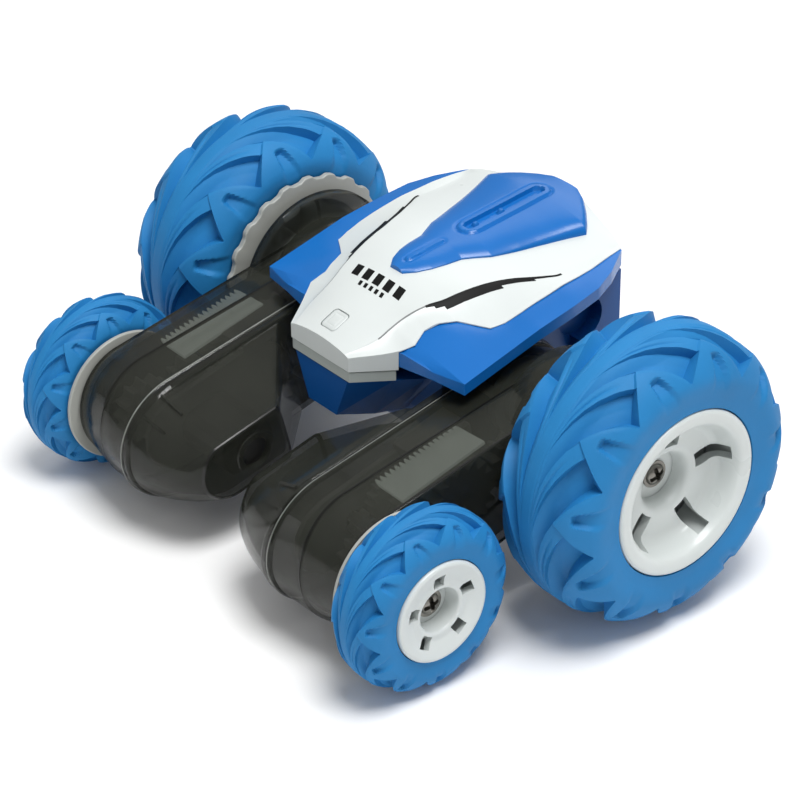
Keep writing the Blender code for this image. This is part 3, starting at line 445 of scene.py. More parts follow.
def rounded_profile(points, radius, steps=5):
    """The same profile with each corner between its ends rounded."""
    result = [points[0]]
    for before, corner, after in zip(points, points[1:], points[2:]):
        corner_point, ends = Vector(corner), []
        for other in (before, after):
            reach = Vector(other) - corner_point
            ends.append(corner_point + reach.normalized() * min(radius, reach.length * 0.45))
        for i in range(steps + 1):
            t = i / steps
            point = ends[0] * (1 - t) ** 2 + corner_point * 2 * t * (1 - t) + ends[1] * t ** 2
            result.append((point.x, point.y))
    return result + [points[-1]]


def flange_ring(inner, outer, x_low, x_high, teeth):
    """The rim's pale ring on the inner side of the tyre, with low teeth on its edge if it has any."""
    angle = full_turn(FLANGE_COLUMNS)
    wave = ramp(np.cos(angle * teeth), -0.7, 0.75) * FLANGE_TOOTH if teeth else 0 * angle
    rings = []
    for x, base, share in ((x_high, inner, 0), (x_high, outer, 1), (x_low + 0.25, outer + 0.05, 1),
                           (x_low + 0.06, outer - 0.12, 1), (x_low, outer - 0.4, 1), (x_low, inner, 0)):
        rings.append(around(x, base + wave * share, angle))
    return ring_loop(rings)


# ---- Screws --------------------------------------------------
SCREW_RADIUS, SCREW_DOME, SCREW_HEIGHT = 2.95, 2.25, 1.45
SHANK_RADIUS, SCREW_HOLE = 1.1, 1.3
WASHER_THICKNESS = 0.45
CROSS_REACH, CROSS_HALF, CROSS_DEPTH = 1.65, 0.42, 1.25


def screw_shape(length):
    """A washer-head cross-recess screw along x, with its seat at x = 0 and its head towards +x."""
    radius, dome, rings = SCREW_RADIUS, SCREW_DOME, []
    angle = full_turn(96)
    for r in (0.001, *np.linspace(0.12, dome, 22), dome + 0.04, radius - 0.25, radius - 0.05):
        y, z = abs(r * np.cos(angle)), abs(r * np.sin(angle))
        bulge = math.sqrt(max(0.0, 1 - (r / (dome + 0.02)) ** 2)) if r <= dome else 0.0
        top = WASHER_THICKNESS + (SCREW_HEIGHT - WASHER_THICKNESS) * bulge
        cross = np.minimum(np.maximum(y / CROSS_REACH, z / CROSS_HALF),
                           np.maximum(z / CROSS_REACH, y / CROSS_HALF))
        rings.append(around(top - CROSS_DEPTH * ramp(cross, 1.12, 0.80), r, angle))
    for x, r in ((0.32, radius), (0.0, radius - 0.1), (0.0, SHANK_RADIUS), (-length, SHANK_RADIUS),
                 (-length - 0.8, 0.1)):
        rings.append(around(x, r, angle))
    return ring_solid(rings)


# ---- Wheels --------------------------------------------------
def make_wheels():
    big_profile = rounded_profile(
        [(2.0, 17.75), (12.5, 17.75), (13.0, 17.1), (12.9, 15.4), (12.5, 14.6), (11.5, 14.1), (8.2, 13.0),
         (7.2, 12.0), (6.9, 7.2), (6.4, 6.2), (5.2, 5.6), (3.2, 5.2)], 0.6)
    small_profile = rounded_profile(
        [(1.0, 10.75), (6.9, 10.75), (7.15, 10.1), (6.75, 8.6), (6.05, 6.6), (6.15, 5.2), (5.9, 4.75),
         (2.4, 4.35)], 0.4)
    wheels = {
        "big": dict(centre=BIG_CENTRE, radius=BIG_RADIUS, half_width=BIG_HALF_WIDTH, seat=18.0,
                    flange=21.0, flange_x=(-14.7, -13.5), depth=3.1, steps=34, tips=(108.5, 100.3),
                    profile=big_profile, window=(7.7, 13.9), narrowing=0.42, window_turn=84.0, skin=2.0,
                    floor=3.1, boss=5.4, teeth=22, screw_x=3.15, screw_turn=20.0),
        "small": dict(centre=SMALL_CENTRE, radius=SMALL_RADIUS, half_width=SMALL_HALF_WIDTH, seat=11.0,
                      flange=14.5, flange_x=(-8.6, -7.75), depth=1.9, steps=24, tips=(109.8, 95.5),
                      profile=small_profile, window=(5.55, 8.1), narrowing=0.2, window_turn=93.0, skin=1.5,
                      floor=2.35, boss=4.7, teeth=0, screw_x=2.45, screw_turn=12.0),
    }
    for name, size in wheels.items():
        tyre = tyre_shape(size["radius"] + BLADE_DROP * size["depth"], size["half_width"], size["seat"],
                          size["flange"], size["flange_x"][1], size["depth"], size["steps"])
        face = rim_face(dense(size["profile"], 0.8), size["window"], size["narrowing"])
        face = turned_about_x(face, size["window_turn"])
        flange = flange_ring(size["seat"] - 1.8, size["flange"], *size["flange_x"], size["teeth"])
        inner = size["flange_x"][0] + 0.4
        boss = ring_loop(turned_rings([(inner, size["boss"] - 0.8), (size["floor"], size["boss"]),
                                       (size["floor"], SCREW_HOLE), (inner, SCREW_HOLE)], 64))
        outside, inside = size["seat"] - 0.3, size["seat"] - 1.9
        barrel = ring_loop(turned_rings([(inner, outside), (1.2, outside), (1.2, inside),
                                         (inner, inside)], 96))
        screw = screw_shape(size["screw_x"] + 6.0)
        for (hand, side), tip in zip(HANDS, size["tips"]):
            body = f"{name}_wheel_{hand}"

            def place(shape, turn=0.0):
                return on_side(moved(turned_about_x(shape, turn), size["centre"]), side)

            make_piece(f"{name}_tyre_tread_{hand}", place(tyre, tip), RUBBER, body,
                       [f"{name}_tyre_{hand}"], smooth=32)
            skin = make_piece(f"{name}_rim_face_{hand}", place(face), WHITE, body,
                              [f"{name}_rim_{hand}"], closed=False)
            thick = skin.modifiers.new("Solidify", "SOLIDIFY")
            thick.thickness = size["skin"] * MM
            thick.offset = -1.0
            thick.use_even_offset = False
            bevelled(skin, 0.18, angle=55)
            make_piece(f"{name}_rim_core_{hand}", place(joined(boss, barrel)), WHITE, body)
            make_piece(f"{name}_rim_flange_{hand}", place(flange, tip + 4), PALE_GREY, body)
            placed = moved(turned_about_x(screw, size["screw_turn"]), (size["screw_x"], 0, 0))
            make_piece(f"{name}_cross_screw_{hand}", place(placed), DARK_STEEL, body,
                       [f"{name}_wheel_screw_{hand}"], smooth=40)


make_wheels()


# ---- Arm shells ----------------------------------------------
# Across the arm: reach of the rounded front ahead of the front axle, height of the top line over it,
# and how fast that line falls towards the rear axle. BULGE_END is where the motor bulge stops.
FRONT_REACH = ((6.3, 7.0), (8, 9.4), (12, 12.0), (17, 13.8), (24, 14.8), (33.5, 14.1), (43.5, 12.5))
TOP_HEIGHT = ((6.3, 6.8), (24, 13.35), (33.5, 15.4), (43.5, 13.26))
TOP_FALL = ((6.3, 0.0), (21, 0.0), (24, 0.043), (33.5, 0.069), (43.5, 0.05))
BULGE_END = ((6.3, 14.1), (17.3, 24.1), (23.9, 30.1))
INNER_X, PLATE_X, SEAM_X, RIDGE_X, DISC_X, OUTER_X = 6.3, 22.3, 24.0, 33.5, 41.0, 43.5
DRUM_RADIUS, DISC_RADIUS = 14.8, 19.2
SHELL_WALL = 1.5
LIP = 0.5                       # how far the seam's lips stand out
ARC = 30                        # steps in each half turn of the outline
MOTOR_S = 6.0
VENT_RADIUS, PIVOT_RADIUS = 3.4, 6.25
SHAFT_HOLES = ((0.0, 3.25), (AXLE_DISTANCE, 3.75))   # s and radius, for the small and the big wheel
RIB_ANGLES = (101, 124)
BULGE_CORNER = 1.2
PANEL_BREAK = 20.0              # degrees between the flat panel and the rounded front at their edge


def arm_ring(x, grow=0.0, bulge=False, crisp=0.0):
    """Side outline of the arm at one x, grown or shrunk by grow, as points (x, s, h)."""
    reach = float(smooth_curve(FRONT_REACH, x)) + grow
    height = float(straight_curve(TOP_HEIGHT, x)) + grow
    rear = float(straight_curve(BULGE_END, x)) + grow if bulge else AXLE_DISTANCE
    rear_height = height - float(straight_curve(TOP_FALL, x)) * rear
    ring, crisp = [], math.radians(crisp)
    for step in range(ARC + 1):
        angle = math.pi / 2 + crisp + (math.pi - crisp) * step / ARC
        tall = height / math.cos(crisp) if angle < math.pi else height
        ring.append((x, reach * math.cos(angle), tall * math.sin(angle)))
    if bulge:
        rear -= BULGE_CORNER
    bow = BULGE_CORNER if bulge else rear_height
    for step in range(ARC + 1):
        angle = -math.pi / 2 + math.pi * step / ARC
        lift = math.sin(angle)
        if bulge:
            lift = math.copysign(abs(lift) ** 0.35, lift)
        ring.append((x, rear + bow * math.cos(angle), rear_height * lift))
    return ring


def arm_loft(stations, **options):
    return ring_solid([arm_ring(x, grow, **options) for x, grow in stations])


def arm_band(x_low, x_high, grow_low, grow_high, **options):
    """A thin closed band that follows the arm's outline."""
    corners = (x_low, grow_high), (x_high, grow_high), (x_high, grow_low), (x_low, grow_low)
    return ring_loop([arm_ring(x, grow, **options) for x, grow in corners])


def lathe_at(profile, s, segments=72):
    """A solid turned about an axis across the arm at s."""
    return moved(ring_solid(turned_rings(profile, segments)), (0, s, 0))


def arm_to_car(shape):
    """From the arm frame to the car's."""
    x, s, h = np.asarray(shape[0], float).T
    c, t = math.cos(ARM_TILT), math.sin(ARM_TILT)
    return np.stack([x, SMALL_CENTRE.y + s * c - h * t, SMALL_CENTRE.z + s * t + h * c], axis=1), shape[1]


COVER_X, COVER_S, COVER_H = (32.0, 39.5), (9.5, 31.0), (9.6, 10.3)
COVER_PITCH, COVER_TOOTH_HEIGHT = 1.25, 1.5


def gear_cover(side):
    """The light cover over the gears, under the shell's top: its edge towards -x has fine teeth."""
    edge, plain = (COVER_X if side > 0 else (-COVER_X[1], -COVER_X[0]))
    tips, root, tip = edge - COVER_TOOTH_HEIGHT, 0.42 * COVER_PITCH, 0.12 * COVER_PITCH
    outline = [(plain, COVER_S[0]), (plain, COVER_S[1])]
    for i in reversed(range(int((COVER_S[1] - COVER_S[0]) / COVER_PITCH))):
        s = COVER_S[0] + (i + 0.5) * COVER_PITCH
        outline += [(edge, s + root), (tips, s + tip), (tips, s - tip), (edge, s - root)]
    return ring_solid([[(x, s, h) for x, s in outline] for h in COVER_H])


def make_arms():
    rear = AXLE_DISTANCE
    outer = arm_loft([(SEAM_X + 0.15, 0.1), (SEAM_X + 0.25, 0.32), (SEAM_X + 0.45, LIP - 0.06),
                      (SEAM_X + 0.8, LIP), (SEAM_X + 1.15, LIP - 0.06), (SEAM_X + 1.4, 0.3),
                      (SEAM_X + 1.6, 0), (27.0, 0), (30.0, 0), (RIDGE_X - 0.3, 0), (RIDGE_X - 0.12, -0.25),
                      (RIDGE_X + 0.12, -0.25), (RIDGE_X + 0.3, 0), (37.0, 0), (40.0, 0),
                      (OUTER_X - 0.4, 0), (OUTER_X - 0.1, -0.15), (OUTER_X, -0.45)])
    drum = lathe_at([(RIDGE_X - 1.5, DRUM_RADIUS - 2.6), (RIDGE_X - 0.5, DRUM_RADIUS - 0.9),
                     (RIDGE_X + 0.2, DRUM_RADIUS - 0.1), (RIDGE_X + 0.8, DRUM_RADIUS),
                     (DISC_X, DRUM_RADIUS), (DISC_X, DISC_RADIUS - 0.2), (DISC_X + 0.2, DISC_RADIUS),
                     (OUTER_X - 0.2, DISC_RADIUS), (OUTER_X, DISC_RADIUS - 0.2)], rear)
    hollow = arm_loft([(x, -SHELL_WALL) for x in (SEAM_X - 1, RIDGE_X, OUTER_X - SHELL_WALL)])
    drum_hollow = lathe_at([(RIDGE_X + 0.6, DRUM_RADIUS - SHELL_WALL),
                            (OUTER_X - SHELL_WALL - 0.1, DRUM_RADIUS - SHELL_WALL)], rear)
    holes = [("DIFFERENCE", lathe_at([(OUTER_X - 4, radius), (OUTER_X + 1, radius)], s, segments=40))
             for s, radius in SHAFT_HOLES]
    outer = cut_shape(outer, [("UNION", drum), ("DIFFERENCE", hollow), ("DIFFERENCE", drum_hollow)] + holes)
    plate = arm_loft([(PLATE_X, 0.1), (PLATE_X + 0.15, 0.35), (PLATE_X + 0.4, LIP - 0.05),
                      (PLATE_X + 0.75, LIP), (SEAM_X - 0.45, LIP - 0.06), (SEAM_X - 0.25, 0.32),
                      (SEAM_X - 0.15, 0.1)])
    bulge = arm_loft([(INNER_X, -0.25), (INNER_X + 0.25, 0)] + [(x, 0) for x in (6.9, 7.4, 8, 9, 10.5, 12,
                     14.5, 17, 19, 21, SEAM_X - 0.2)], bulge=True, crisp=PANEL_BREAK)
    bulge_hollow = arm_loft([(x, -SHELL_WALL) for x in (INNER_X + SHELL_WALL, 10, 13, 17, SEAM_X + 1)],
                            bulge=True)
    ring = lathe_at([(INNER_X - 0.35, 3.6), (INNER_X - 0.35, 4.7), (INNER_X - 0.1, 4.95),
                     (INNER_X + 1, 4.95)], MOTOR_S)
    vent = lathe_at([(INNER_X - 1, VENT_RADIUS), (INNER_X + 3, VENT_RADIUS)], MOTOR_S)
    pivot = lathe_at([(PLATE_X - 1, PIVOT_RADIUS), (SEAM_X + 1, PIVOT_RADIUS)], rear)
    inner = cut_shape(plate, [("UNION", bulge), ("DIFFERENCE", bulge_hollow), ("UNION", ring),
                              ("DIFFERENCE", vent), ("DIFFERENCE", pivot)])
    ribs = []
    for angle in RIB_ANGLES:
        a, rib = math.radians(angle), []
        for x in np.linspace(16.5, PLATE_X + 0.1, 8):
            reach = float(smooth_curve(FRONT_REACH, x))
            height = float(straight_curve(TOP_HEIGHT, x)) / math.cos(math.radians(PANEL_BREAK))
            rib.append([(x, (reach + lift) * math.cos(a + spread), (height + lift) * math.sin(a + spread))
                        for spread, lift in ((-0.025, -0.3), (-0.012, 0.25), (0.012, 0.25), (0.025, -0.3))])
        ribs.append(ring_solid(rib))
    # Near-black strips in the seam gap, the ridge groove and along the outer, bulge and disc edges: painted
    # shade.
    edge = [(OUTER_X - 0.55, DISC_RADIUS + 0.03), (OUTER_X - 0.2, DISC_RADIUS + 0.03),
            (OUTER_X - 0.2, DISC_RADIUS - 0.4), (OUTER_X - 0.55, DISC_RADIUS - 0.4)]
    disc_shade_ring = moved(ring_loop(turned_rings(edge, 96)), (0, rear, 0))
    bulge_shade_band = arm_band(INNER_X + 0.15, INNER_X + 0.5, -0.5, 0.03, bulge=True, crisp=PANEL_BREAK)
    lines = joined(arm_band(SEAM_X - 0.2, SEAM_X + 0.2, -1.0, 0.22),
                   arm_band(RIDGE_X - 0.16, RIDGE_X + 0.16, -0.7, 0.02),
                   arm_band(OUTER_X - 0.6, OUTER_X - 0.25, -0.5, 0.03), bulge_shade_band, disc_shade_ring)
    # A thin bead on the seam's lip in pale grey: painted highlight.
    beads = arm_band(SEAM_X + 0.5, SEAM_X + 0.7, LIP - 0.15, LIP + 0.04)
    for hand, side in HANDS:
        body = f"arm_{hand}"

        def place(shape):
            return on_side(arm_to_car(shape), side)

        make_piece(f"arm_gear_cover_{hand}", arm_to_car(gear_cover(side)), COVER_NYLON_PAINTED_GLOW, body)
        make_piece(f"arm_seam_painted_highlight_{hand}", place(beads), SEAM_HIGHLIGHT_PAINT, body)
        make_piece(f"arm_painted_shade_lines_{hand}", place(lines), EDGE_SHADE_BLACK, body)
        for name, shape in (("outer", outer), ("inner", inner)):
            make_piece(f"arm_{name}_smoked_{hand}", place(shape), SMOKE, body,
                       [f"arm_{name}_shell_{hand}"], smooth=11)
        make_piece(f"arm_front_ribs_{hand}", place(joined(*ribs)), SMOKE, body)


make_arms()


# ---- Body ----------------------------------------------------
# Each row: y, half width and height of the canopy's crease, and of its outer top edge.
CREASE = ((-15.4, 8.2, 45.5), (-8.6, 10.4, 47.6), (-5.8, 10.6, 48.9), (-3.0, 10.95, 50.2),
          (-0.2, 11.7, 51.4), (2.6, 12.6, 52.2), (5.5, 13.7, 52.65), (8.5, 14.5, 53.3),
          (11.7, 15.3, 53.8), (14.8, 16.1, 54.05), (17.9, 17.2, 54.2), (20.9, 18.4, 54.1),
          (23.7, 19.8, 53.9), (26.5, 21.2, 53.75), (29.1, 22.3, 53.7), (45.0, 22.4, 54.9),
          (49.3, 11.6, 55.9), (52.4, 2.2, 56.4))
EDGE = ((-15.4, 9.3, 45.1), (-7.0, 15.2, 46.25), (-4.3, 16.8, 47.4), (-1.1, 15.9, 49.1),
        (2.0, 16.9, 50.1), (5.15, 18.5, 50.1), (7.1, 21.3, 49.8), (9.0, 24.3, 49.6),
        (12.1, 25.2, 50.05), (15.7, 25.5, 51.0), (19.5, 25.55, 51.9), (23.4, 25.6, 52.6),
        (27.4, 25.5, 53.3), (31.6, 25.4, 53.6), (35.75, 25.2, 54.0), (40.5, 24.4, 54.4),
        (45.1, 23.6, 54.6), (49.3, 12.5, 55.5), (52.4, 2.5, 56.0))
# Each row: y and the height of the canopy's middle line.
CENTRE = ((-15.4, 46.4), (-11.0, 48.6), (-3.0, 51.6), (5.0, 54.0), (17.0, 55.0), (26.0, 55.1),
          (45.0, 56.5), (52.4, 56.8))
# Each row: y and the half width of the wings, and of the hood scoop.
WING = ((-7.0, 15.2), (-3.9, 31.5), (5.0, 31.4), (16.0, 31.3), (26.0, 30.9), (33.0, 30.2),
        (38.5, 28.0), (45.0, 24.0), (48.9, 12.0), (51.9, 2.5))
SCOOP = ((4.8, 1.9), (7.0, 3.8), (10.0, 5.2), (13.2, 6.0), (16.8, 6.5), (19.3, 7.9), (22.1, 9.5),
         (25.4, 10.5), (28.7, 11.5), (32.2, 12.4), (35.5, 13.4), (38.9, 14.5), (42.6, 15.9),
         (44.4, 14.2), (46.9, 11.3), (49.3, 8.0), (50.9, 4.6))
# Each row: y and the height of the scoop's middle line, and of its upright side over the canopy.
SCOOP_TOP = ((4.8, 54.9), (10.0, 55.9), (17.0, 56.7), (26.0, 57.5), (36.0, 58.5), (45.0, 59.3),
             (50.9, 58.9))
SCOOP_WALL = ((4.8, 0.0), (16.0, 0.1), (26.0, 0.4), (36.0, 1.1), (44.0, 1.8), (50.9, 1.8))
NOSE_FLOOR = 41.85
JUNCTION_Y = -7.2
WING_THICKNESS = 2.6
WING_LEVEL, WING_CLIMB = 44.7, 0.1623    # height of the wings' edge at the nose, and its rise for each y
WING_DROOP = 1.8                         # how far the front corners hang under that level


def column(table, index, values, smooth=True):
    points = [(row[0], row[index]) for row in table]
    return smooth_curve(points, values) if smooth else straight_curve(points, values)


def canopy_height(x, y):
    """The canopy's top: gently crowned inside the crease, and a straight shoulder outside it."""
    x, y = np.abs(np.asarray(x, float)), np.asarray(y, float)
    crease_x, crease_z = column(CREASE, 1, y), column(CREASE, 2, y)
    edge_x, edge_z = column(EDGE, 1, y, smooth=False), column(EDGE, 2, y)
    centre = smooth_curve(CENTRE, y)
    crown = centre + (crease_z - centre) * np.clip(x / crease_x, 0, 1) ** 2
    share = np.clip((x - crease_x) / np.maximum(edge_x - crease_x, 0.3), 0, 1)
    shoulder = crease_z + (edge_z - crease_z) * share ** 0.75
    return np.where(x <= crease_x, crown, shoulder)


def wing_level(y):
    return WING_LEVEL + WING_CLIMB * (y - NOSE_Y)


def wing_droop(y):
    return WING_DROOP * np.clip((16.0 - y) / 20.0, 0, 1)


def wing_height(x, y):
    """The wing's top: flush with the canopy's edge, and falling from there to the wing's own edge."""
    y = np.asarray(y, float)
    inner_x, inner_z = column(EDGE, 1, y, smooth=False), column(EDGE, 2, y, smooth=False) - 0.25
    outer_x = straight_curve(WING, y)
    outer_z = wing_level(y) - wing_droop(y)
    share = np.clip((np.abs(x) - inner_x) / np.maximum(outer_x - inner_x, 0.5), 0, 1)
    return inner_z + (np.minimum(outer_z, inner_z) - inner_z) * share


def wing_floor(x, y):
    droop = wing_droop(y) * np.clip((np.abs(x) - 12.0) / 19.6, 0, 1)
    return np.minimum(wing_level(y) - droop, column(EDGE, 2, y, smooth=False) - 1.1) - WING_THICKNESS


def sheet_solid(ys, half_width, shares, top, bottom):
    """A closed slab over a plan: shares are places across from -1 to 1 of the half width at each y."""
    upper, lower = [], []
    for y in ys:
        xs = np.asarray(shares(y)) * half_width(y)
        upper.append(np.stack([xs, np.full(len(xs), y), top(xs, y)], axis=1))
        lower.append(np.stack([xs, np.full(len(xs), y), bottom(xs, y)], axis=1))
    count, rows = len(upper[0]), len(ys)
    faces, under = grid_faces(rows, count), rows * count
    faces += [tuple(under + i for i in reversed(face)) for face in faces]
    for row in range(rows - 1):
        for here in (row * count, (row + 1) * count - 1):
            faces.append((here, here + count, here + count + under, here + under))
    for row in (0, rows - 1):
        for here in range(row * count, (row + 1) * count - 1):
            faces.append((here, here + 1, here + 1 + under, here + under))
    return np.concatenate(upper + lower), faces


def stations(low, high, step, extra=()):
    """Places from low to high about a step apart, with the extra ones added."""
    even = np.linspace(low, high, round((high - low) / step) + 1)
    return np.array(sorted({round(y, 3) for y in [*even, *extra]}))


def decal(ys, inner, outer, columns=6, side=1, lift=0.08):
    """A printed strip that lies on the canopy between two x curves."""
    rows = []
    for y in ys:
        xs = np.linspace(inner(y), outer(y), columns)
        rows.append(np.stack([side * xs, np.full(columns, y), canopy_height(xs, y) + lift], axis=1))
    upper = np.concatenate(rows)
    lower = upper - (0, 0, lift + 0.1)
    count, faces = len(upper), grid_faces(len(ys), columns)
    edge = (list(range(columns)) + [(r + 1) * columns - 1 for r in range(1, len(ys))]
            + [(len(ys) - 1) * columns + i for i in reversed(range(columns - 1))]
            + [r * columns for r in reversed(range(1, len(ys) - 1))])
    faces += [tuple(i + count for i in reversed(face)) for face in faces]
    faces += [(a, b, b + count, a + count) for a, b in zip(edge, edge[1:] + edge[:1])]
    return np.concatenate([upper, lower]), faces


def capsule_distance(x, y, y_low, y_high):
    """Distance in plan from a capsule's middle line on the car's centre plane."""
    return np.hypot(x, y - np.clip(y, y_low, y_high))


BUTTON_Y, BUTTON_HALF, BUTTON_CORNER = -11.25, 2.15, 0.75
# Each ring of the button: how far in from its side, and how far under the canopy's top.
BUTTON_RINGS = ((0.0, 3.0), (0.0, 0.22), (0.07, 0.06), (0.2, -0.02), (0.75, -0.04), (0.85, 0.02),
                (0.95, -0.04), (1.5, -0.05), (2.0, -0.05))


def rounded_square(half, corner, steps=6):
    points, flat = [], half - corner
    for quarter, (across, along) in enumerate(((1, 1), (-1, 1), (-1, -1), (1, -1))):
        for step in range(steps + 1):
            a = quarter * math.pi / 2 + math.pi / 2 * step / steps
            points.append((across * flat + corner * math.cos(a), along * flat + corner * math.sin(a)))
    return points


def make_canopy():
    def shares(y):
        edge, crease = float(column(EDGE, 1, y, smooth=False)), float(column(CREASE, 1, y))
        inside = np.linspace(0, crease / edge, 12)
        outside = crease / edge + (1 - crease / edge) * np.linspace(0, 1, 13)[1:] ** 1.4
        half = np.concatenate([inside, outside])
        return np.concatenate([-half[:0:-1], half])

    def floor(xs, y):
        return np.full(len(xs), NOSE_FLOOR) if y <= JUNCTION_Y else wing_height(xs, y) + 0.03

    ys = stations(NOSE_Y, TAIL_Y, 0.8, [row[0] for row in EDGE] + [JUNCTION_Y, JUNCTION_Y + 0.05])
    shape = sheet_solid(ys, lambda y: float(column(EDGE, 1, y, smooth=False)), shares, canopy_height, floor)
    gap = rounded_square(BUTTON_HALF + 0.18, BUTTON_CORNER + 0.15)
    hole = ring_solid([[(x, y + BUTTON_Y, z) for x, y in gap] for z in (43.0, 60.0)])
    canopy = make_piece("white_canopy", cut_shape(shape, [("DIFFERENCE", hole)]), WHITE, "body",
                        ["canopy"], smooth=17)
    bevelled(canopy, 0.35, angle=50, segments=3)
    rings = []
    for inset, drop in BUTTON_RINGS:
        points = rounded_square(BUTTON_HALF - inset, max(BUTTON_CORNER - inset, 0.12))
        rings.append([(x, y + BUTTON_Y, float(canopy_height(x, y + BUTTON_Y)) - drop) for x, y in points])
    make_piece("nose_button", ring_solid(rings), BUTTON_WHITE, "button", ["power_button"])


def make_deck():
    def width(y):
        return float(straight_curve(WING, y))

    half = [0, 0.3, 0.5, 0.62, 0.72, 0.8, 0.86, 0.92, 0.97, 1.0]
    shares = np.array([-s for s in half[:0:-1]] + half)
    ys = stations(-7.0, 51.9, 1.6, [row[0] for row in WING])
    shape = sheet_solid(ys, width, lambda y: shares, wing_height, wing_floor)
    deck = make_piece("winged_deck", shape, BLUE, "body", ["deck"], smooth=25)
    bevelled(deck, 0.35, angle=40, segments=3)


# On the hood scoop: a raised pill with a sunk middle and two knobs in it, and a low bar ahead of it.
PILL, BAR = (24.7, 43.2), (8.2, 16.4)
KNOBS = (26.0, 33.0)


def scoop_height(x, y):
    width = straight_curve(SCOOP, y)
    low = canopy_height(width, y) + 0.25
    share = np.clip(np.abs(x) / width, 0, 1)
    wall = smooth_curve(SCOOP_WALL, y)
    height = low + wall + (smooth_curve(SCOOP_TOP, y) - low - wall) * (1 - share ** 2.8) ** 1.05
    height = height - wall * (1 - np.sqrt(1 - np.clip((share - 0.84) / 0.16, 0, 1) ** 2)) * 0.8
    pill = capsule_distance(x, y, *PILL)
    height = height + 0.28 * (1 - ramp(pill, 2.55, 2.85)) - 0.28 * np.exp(-((pill - 3.05) / 0.28) ** 2)
    height = height - 1.0 * (1 - ramp(pill, 1.2, 1.5))
    for knob_y in KNOBS:
        height = height + 0.9 * (1 - ramp(np.hypot(x, y - knob_y), 0.5, 0.9))
    bar = capsule_distance(x, y, *BAR)
    return height + 0.35 * (1 - ramp(bar, 0.6, 0.85)) - 0.12 * np.exp(-((bar - 1.1) / 0.25) ** 2)


def make_scoop():
    def width(y):
        return float(straight_curve(SCOOP, y))

    def shares(y):
        limit = width(y)
        half = np.arange(0, 4.01, 0.25) * min(1.0, limit / 6.0) / limit
        outer = 1 - (1 - half[-1]) * (1 - np.linspace(0, 1, 11)[1:]) ** 1.6
        half = np.concatenate([half, outer])
        return np.concatenate([-half[:0:-1], half])

    def floor(xs, y):
        return canopy_height(xs, y) - 0.3

    ys = stations(4.8, 50.9, 0.4, [row[0] for row in SCOOP])
    shape = sheet_solid(ys, width, shares, scoop_height, floor)
    make_piece("hood_pod", shape, BLUE, "body", ["hood_scoop"], smooth=35)


SLAT_HEIGHTS = (36.4, 39.0, 41.6)


def make_tail():
    """Raised slats across the tail's plain rear face."""
    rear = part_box("lower_tub")[1].y / MM
    slats = []
    for height in SLAT_HEIGHTS:
        ends = []
        for x, size in ((-13.0, 0.3), (-12.6, 0.9), (12.6, 0.9), (13.0, 0.3)):
            ends.append([(x, rear - 0.3 + size * max(0.0, math.cos(a)), height + size * 0.8 * math.sin(a))
                         for a in np.arange(16) * math.pi / 8])
        slats.append(ring_solid(ends))
    make_piece("tail_slats", joined(*slats), DEEP_BLUE, "body")


# Each step of a stripe: y at its two ends, and its width at both.
STRIPE_STEPS = ((2.0, 3.5, 0.35, 0.6), (3.5, 5.2, 1.1, 1.1), (5.2, 17.3, 1.9, 1.9),
                (17.3, 24.0, 1.15, 1.15), (24.0, 29.6, 0.6, 0.5))
# Each row of bars: x of the first and the last bar, how many, y at its two ends, the inked share of the
# pitch, and how far a bar leans in x.
BAR_ROWS = ((-8.0, 5.2, 5, -0.6, 2.1, 0.62, -0.9), (-3.8, 3.0, 5, -2.3, -1.2, 0.5, -0.4))


def make_prints():
    """Black stripes in steps outside the creases, grey lines ahead of them, and bars on the hood."""
    def crease(y):
        return float(column(CREASE, 1, y))

    stripes, lines, bars = [], [], []
    for side in (1, -1):
        for low, high, wide_low, wide_high in STRIPE_STEPS:
            def outside(y):
                return crease(y) + wide_low + (wide_high - wide_low) * (y - low) / (high - low)

            stripes.append(decal(stations(low, high, 0.6), crease, outside, side=side))
        lines.append(decal(stations(-8.6, 2.0, 0.6), lambda y: crease(y) - 0.02,
                           lambda y: crease(y) + 0.22, columns=2, side=side, lift=0.03))
    for first, last, count, low, high, share, lean in BAR_ROWS:
        pitch = (last - first) / (count - 1)
        for i in range(count):
            def start(y):
                return first + i * pitch + lean * (y - low) / (high - low)

            bars.append(decal(stations(low, high, 0.3), start, lambda y: start(y) + pitch * share,
                              columns=4))
    make_piece("crease_stripes", joined(*stripes), BLACK_INK, "body")
    make_piece("crease_lines", joined(*lines), GREY_INK, "body")
    make_piece("hood_bars", joined(*bars), BLACK_INK, "body")


make_canopy()
make_deck()
make_scoop()
make_tail()
make_prints()


# ---- CAD nodes that stay -------------------------------------
def finish_node(name, material, bevel=0.0):
    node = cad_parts[name]
    node.data.materials.clear()
    node.data.materials.append(material)
    if bevel:
        weld = node.modifiers.new("Weld", "WELD")
        weld.merge_threshold = 0.002 * MM
        bevelled(node, bevel, angle=35, segments=2)


# The nose band's grey stands for the white shell's lower lip in shade: painted shade.
for name, material, bevel in (
        ("lower_tub", DEEP_BLUE, 0.3), ("nose_band", GREY, 0.2), ("battery_cover", DEEP_BLUE, 0.25),
        ("battery", WRAP, 0.5), ("circuit_board", BOARD, 0.0), ("body_screw_front", STEEL, 0.0),
        ("body_screw_rear_left", STEEL, 0.0), ("body_screw_rear_right", STEEL, 0.0)):
    finish_node(name, material, bevel)
for material, names in (
        (GREY, ("pivot_journal", "pivot_ring")), (MOTOR_CAN, ("motor",)),
        (STEEL, ("motor_pinion", "housing_screw_rear", "housing_screw_middle")),
        (GEAR_GREY, ("gear_plate", "front_idler", "centre_gear", "rear_idler", "reduction_gear",
                     "front_drive_gear", "rear_drive_gear"))):
    for name in names:
        for hand, _ in HANDS:
            finish_node(f"{name}_{hand}", material)


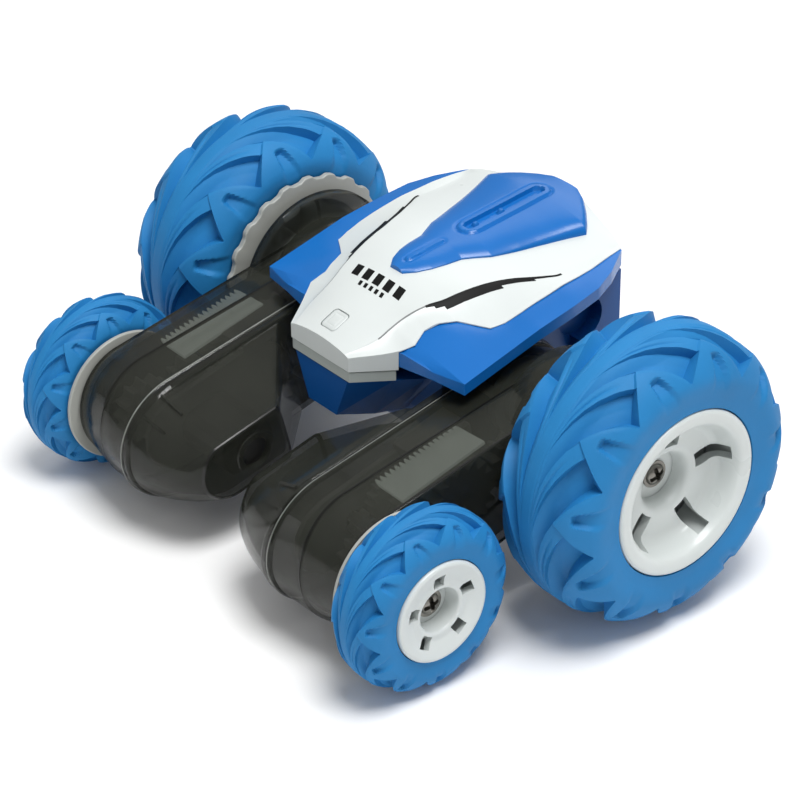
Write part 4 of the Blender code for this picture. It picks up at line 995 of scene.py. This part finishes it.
# ---- Studio --------------------------------------------------
HORIZON_GLOW, CEILING_GLOW = 0.20, 0.52
# Each light, in metres: its place, its size and its power.
LIGHTS = (("key_light", (0.26, -0.04, 0.93), 0.42, 8.0), ("back_light", (-0.5, 0.8, 0.8), 0.8, 2.6))


def make_studio():
    floor = bpy.data.objects.new("floor", bpy.data.meshes.new("floor"))
    floor.data.from_pydata([(-6, -6, 0), (6, -6, 0), (6, 6, 0), (-6, 6, 0)], [], [(0, 1, 2, 3)])
    paper = moulded("floor_paper", (0.95, 0.95, 0.945), 0.75, drift=0.01, drift_scale=4.0, specular=0.2,
                    glow=0.02)
    floor.data.materials.append(paper)
    bpy.context.scene.collection.objects.link(floor)
    world = bpy.data.worlds.new("white_room")
    world.use_nodes = True
    nodes, links = world.node_tree.nodes, world.node_tree.links
    direction = nodes.new("ShaderNodeSeparateXYZ")
    links.new(nodes.new("ShaderNodeTexCoord").outputs["Generated"], direction.inputs["Vector"])
    glow = nodes.new("ShaderNodeMapRange")
    glow.inputs["To Min"].default_value = HORIZON_GLOW
    glow.inputs["To Max"].default_value = CEILING_GLOW
    links.new(direction.outputs["Z"], glow.inputs["Value"])
    links.new(glow.outputs["Result"], nodes["Background"].inputs["Strength"])
    nodes["Background"].inputs["Color"].default_value = (1, 1, 1, 1)
    bpy.context.scene.world = world
    for name, place, size, energy in LIGHTS:
        light = bpy.data.objects.new(name, bpy.data.lights.new(name, "AREA"))
        light.data.size = size
        light.data.energy = energy
        light.location = place
        light.rotation_euler = (Vector((0, 0, 0.02)) - Vector(place)).to_track_quat("-Z", "Y").to_euler()
        bpy.context.scene.collection.objects.link(light)


CAMERA_PLACE = (400.90, -322.70, 340.99)
CAMERA_AZIMUTH, CAMERA_ELEVATION, CAMERA_ROLL = 50.70, 31.56, -0.578
CAMERA_LENS = 130.9


def make_camera():
    camera = bpy.data.objects.new("camera", bpy.data.cameras.new("camera"))
    camera.data.sensor_width = 36
    camera.data.lens = CAMERA_LENS
    azimuth, elevation, roll = map(math.radians, (CAMERA_AZIMUTH, CAMERA_ELEVATION, CAMERA_ROLL))
    back = Vector((math.cos(elevation) * math.sin(azimuth), -math.cos(elevation) * math.cos(azimuth),
                   math.sin(elevation)))
    right = Vector((math.cos(azimuth), math.sin(azimuth), 0))
    up = back.cross(right)
    turned_right = math.cos(roll) * right + math.sin(roll) * up
    turned_up = -math.sin(roll) * right + math.cos(roll) * up
    axes = Matrix((turned_right, turned_up, back)).transposed()
    camera.matrix_world = Matrix.LocRotScale(Vector(CAMERA_PLACE) * MM, axes.to_quaternion(), None)
    bpy.context.scene.collection.objects.link(camera)
    bpy.context.scene.camera = camera


make_studio()
make_camera()
bpy.context.scene.view_settings.view_transform = "Standard"
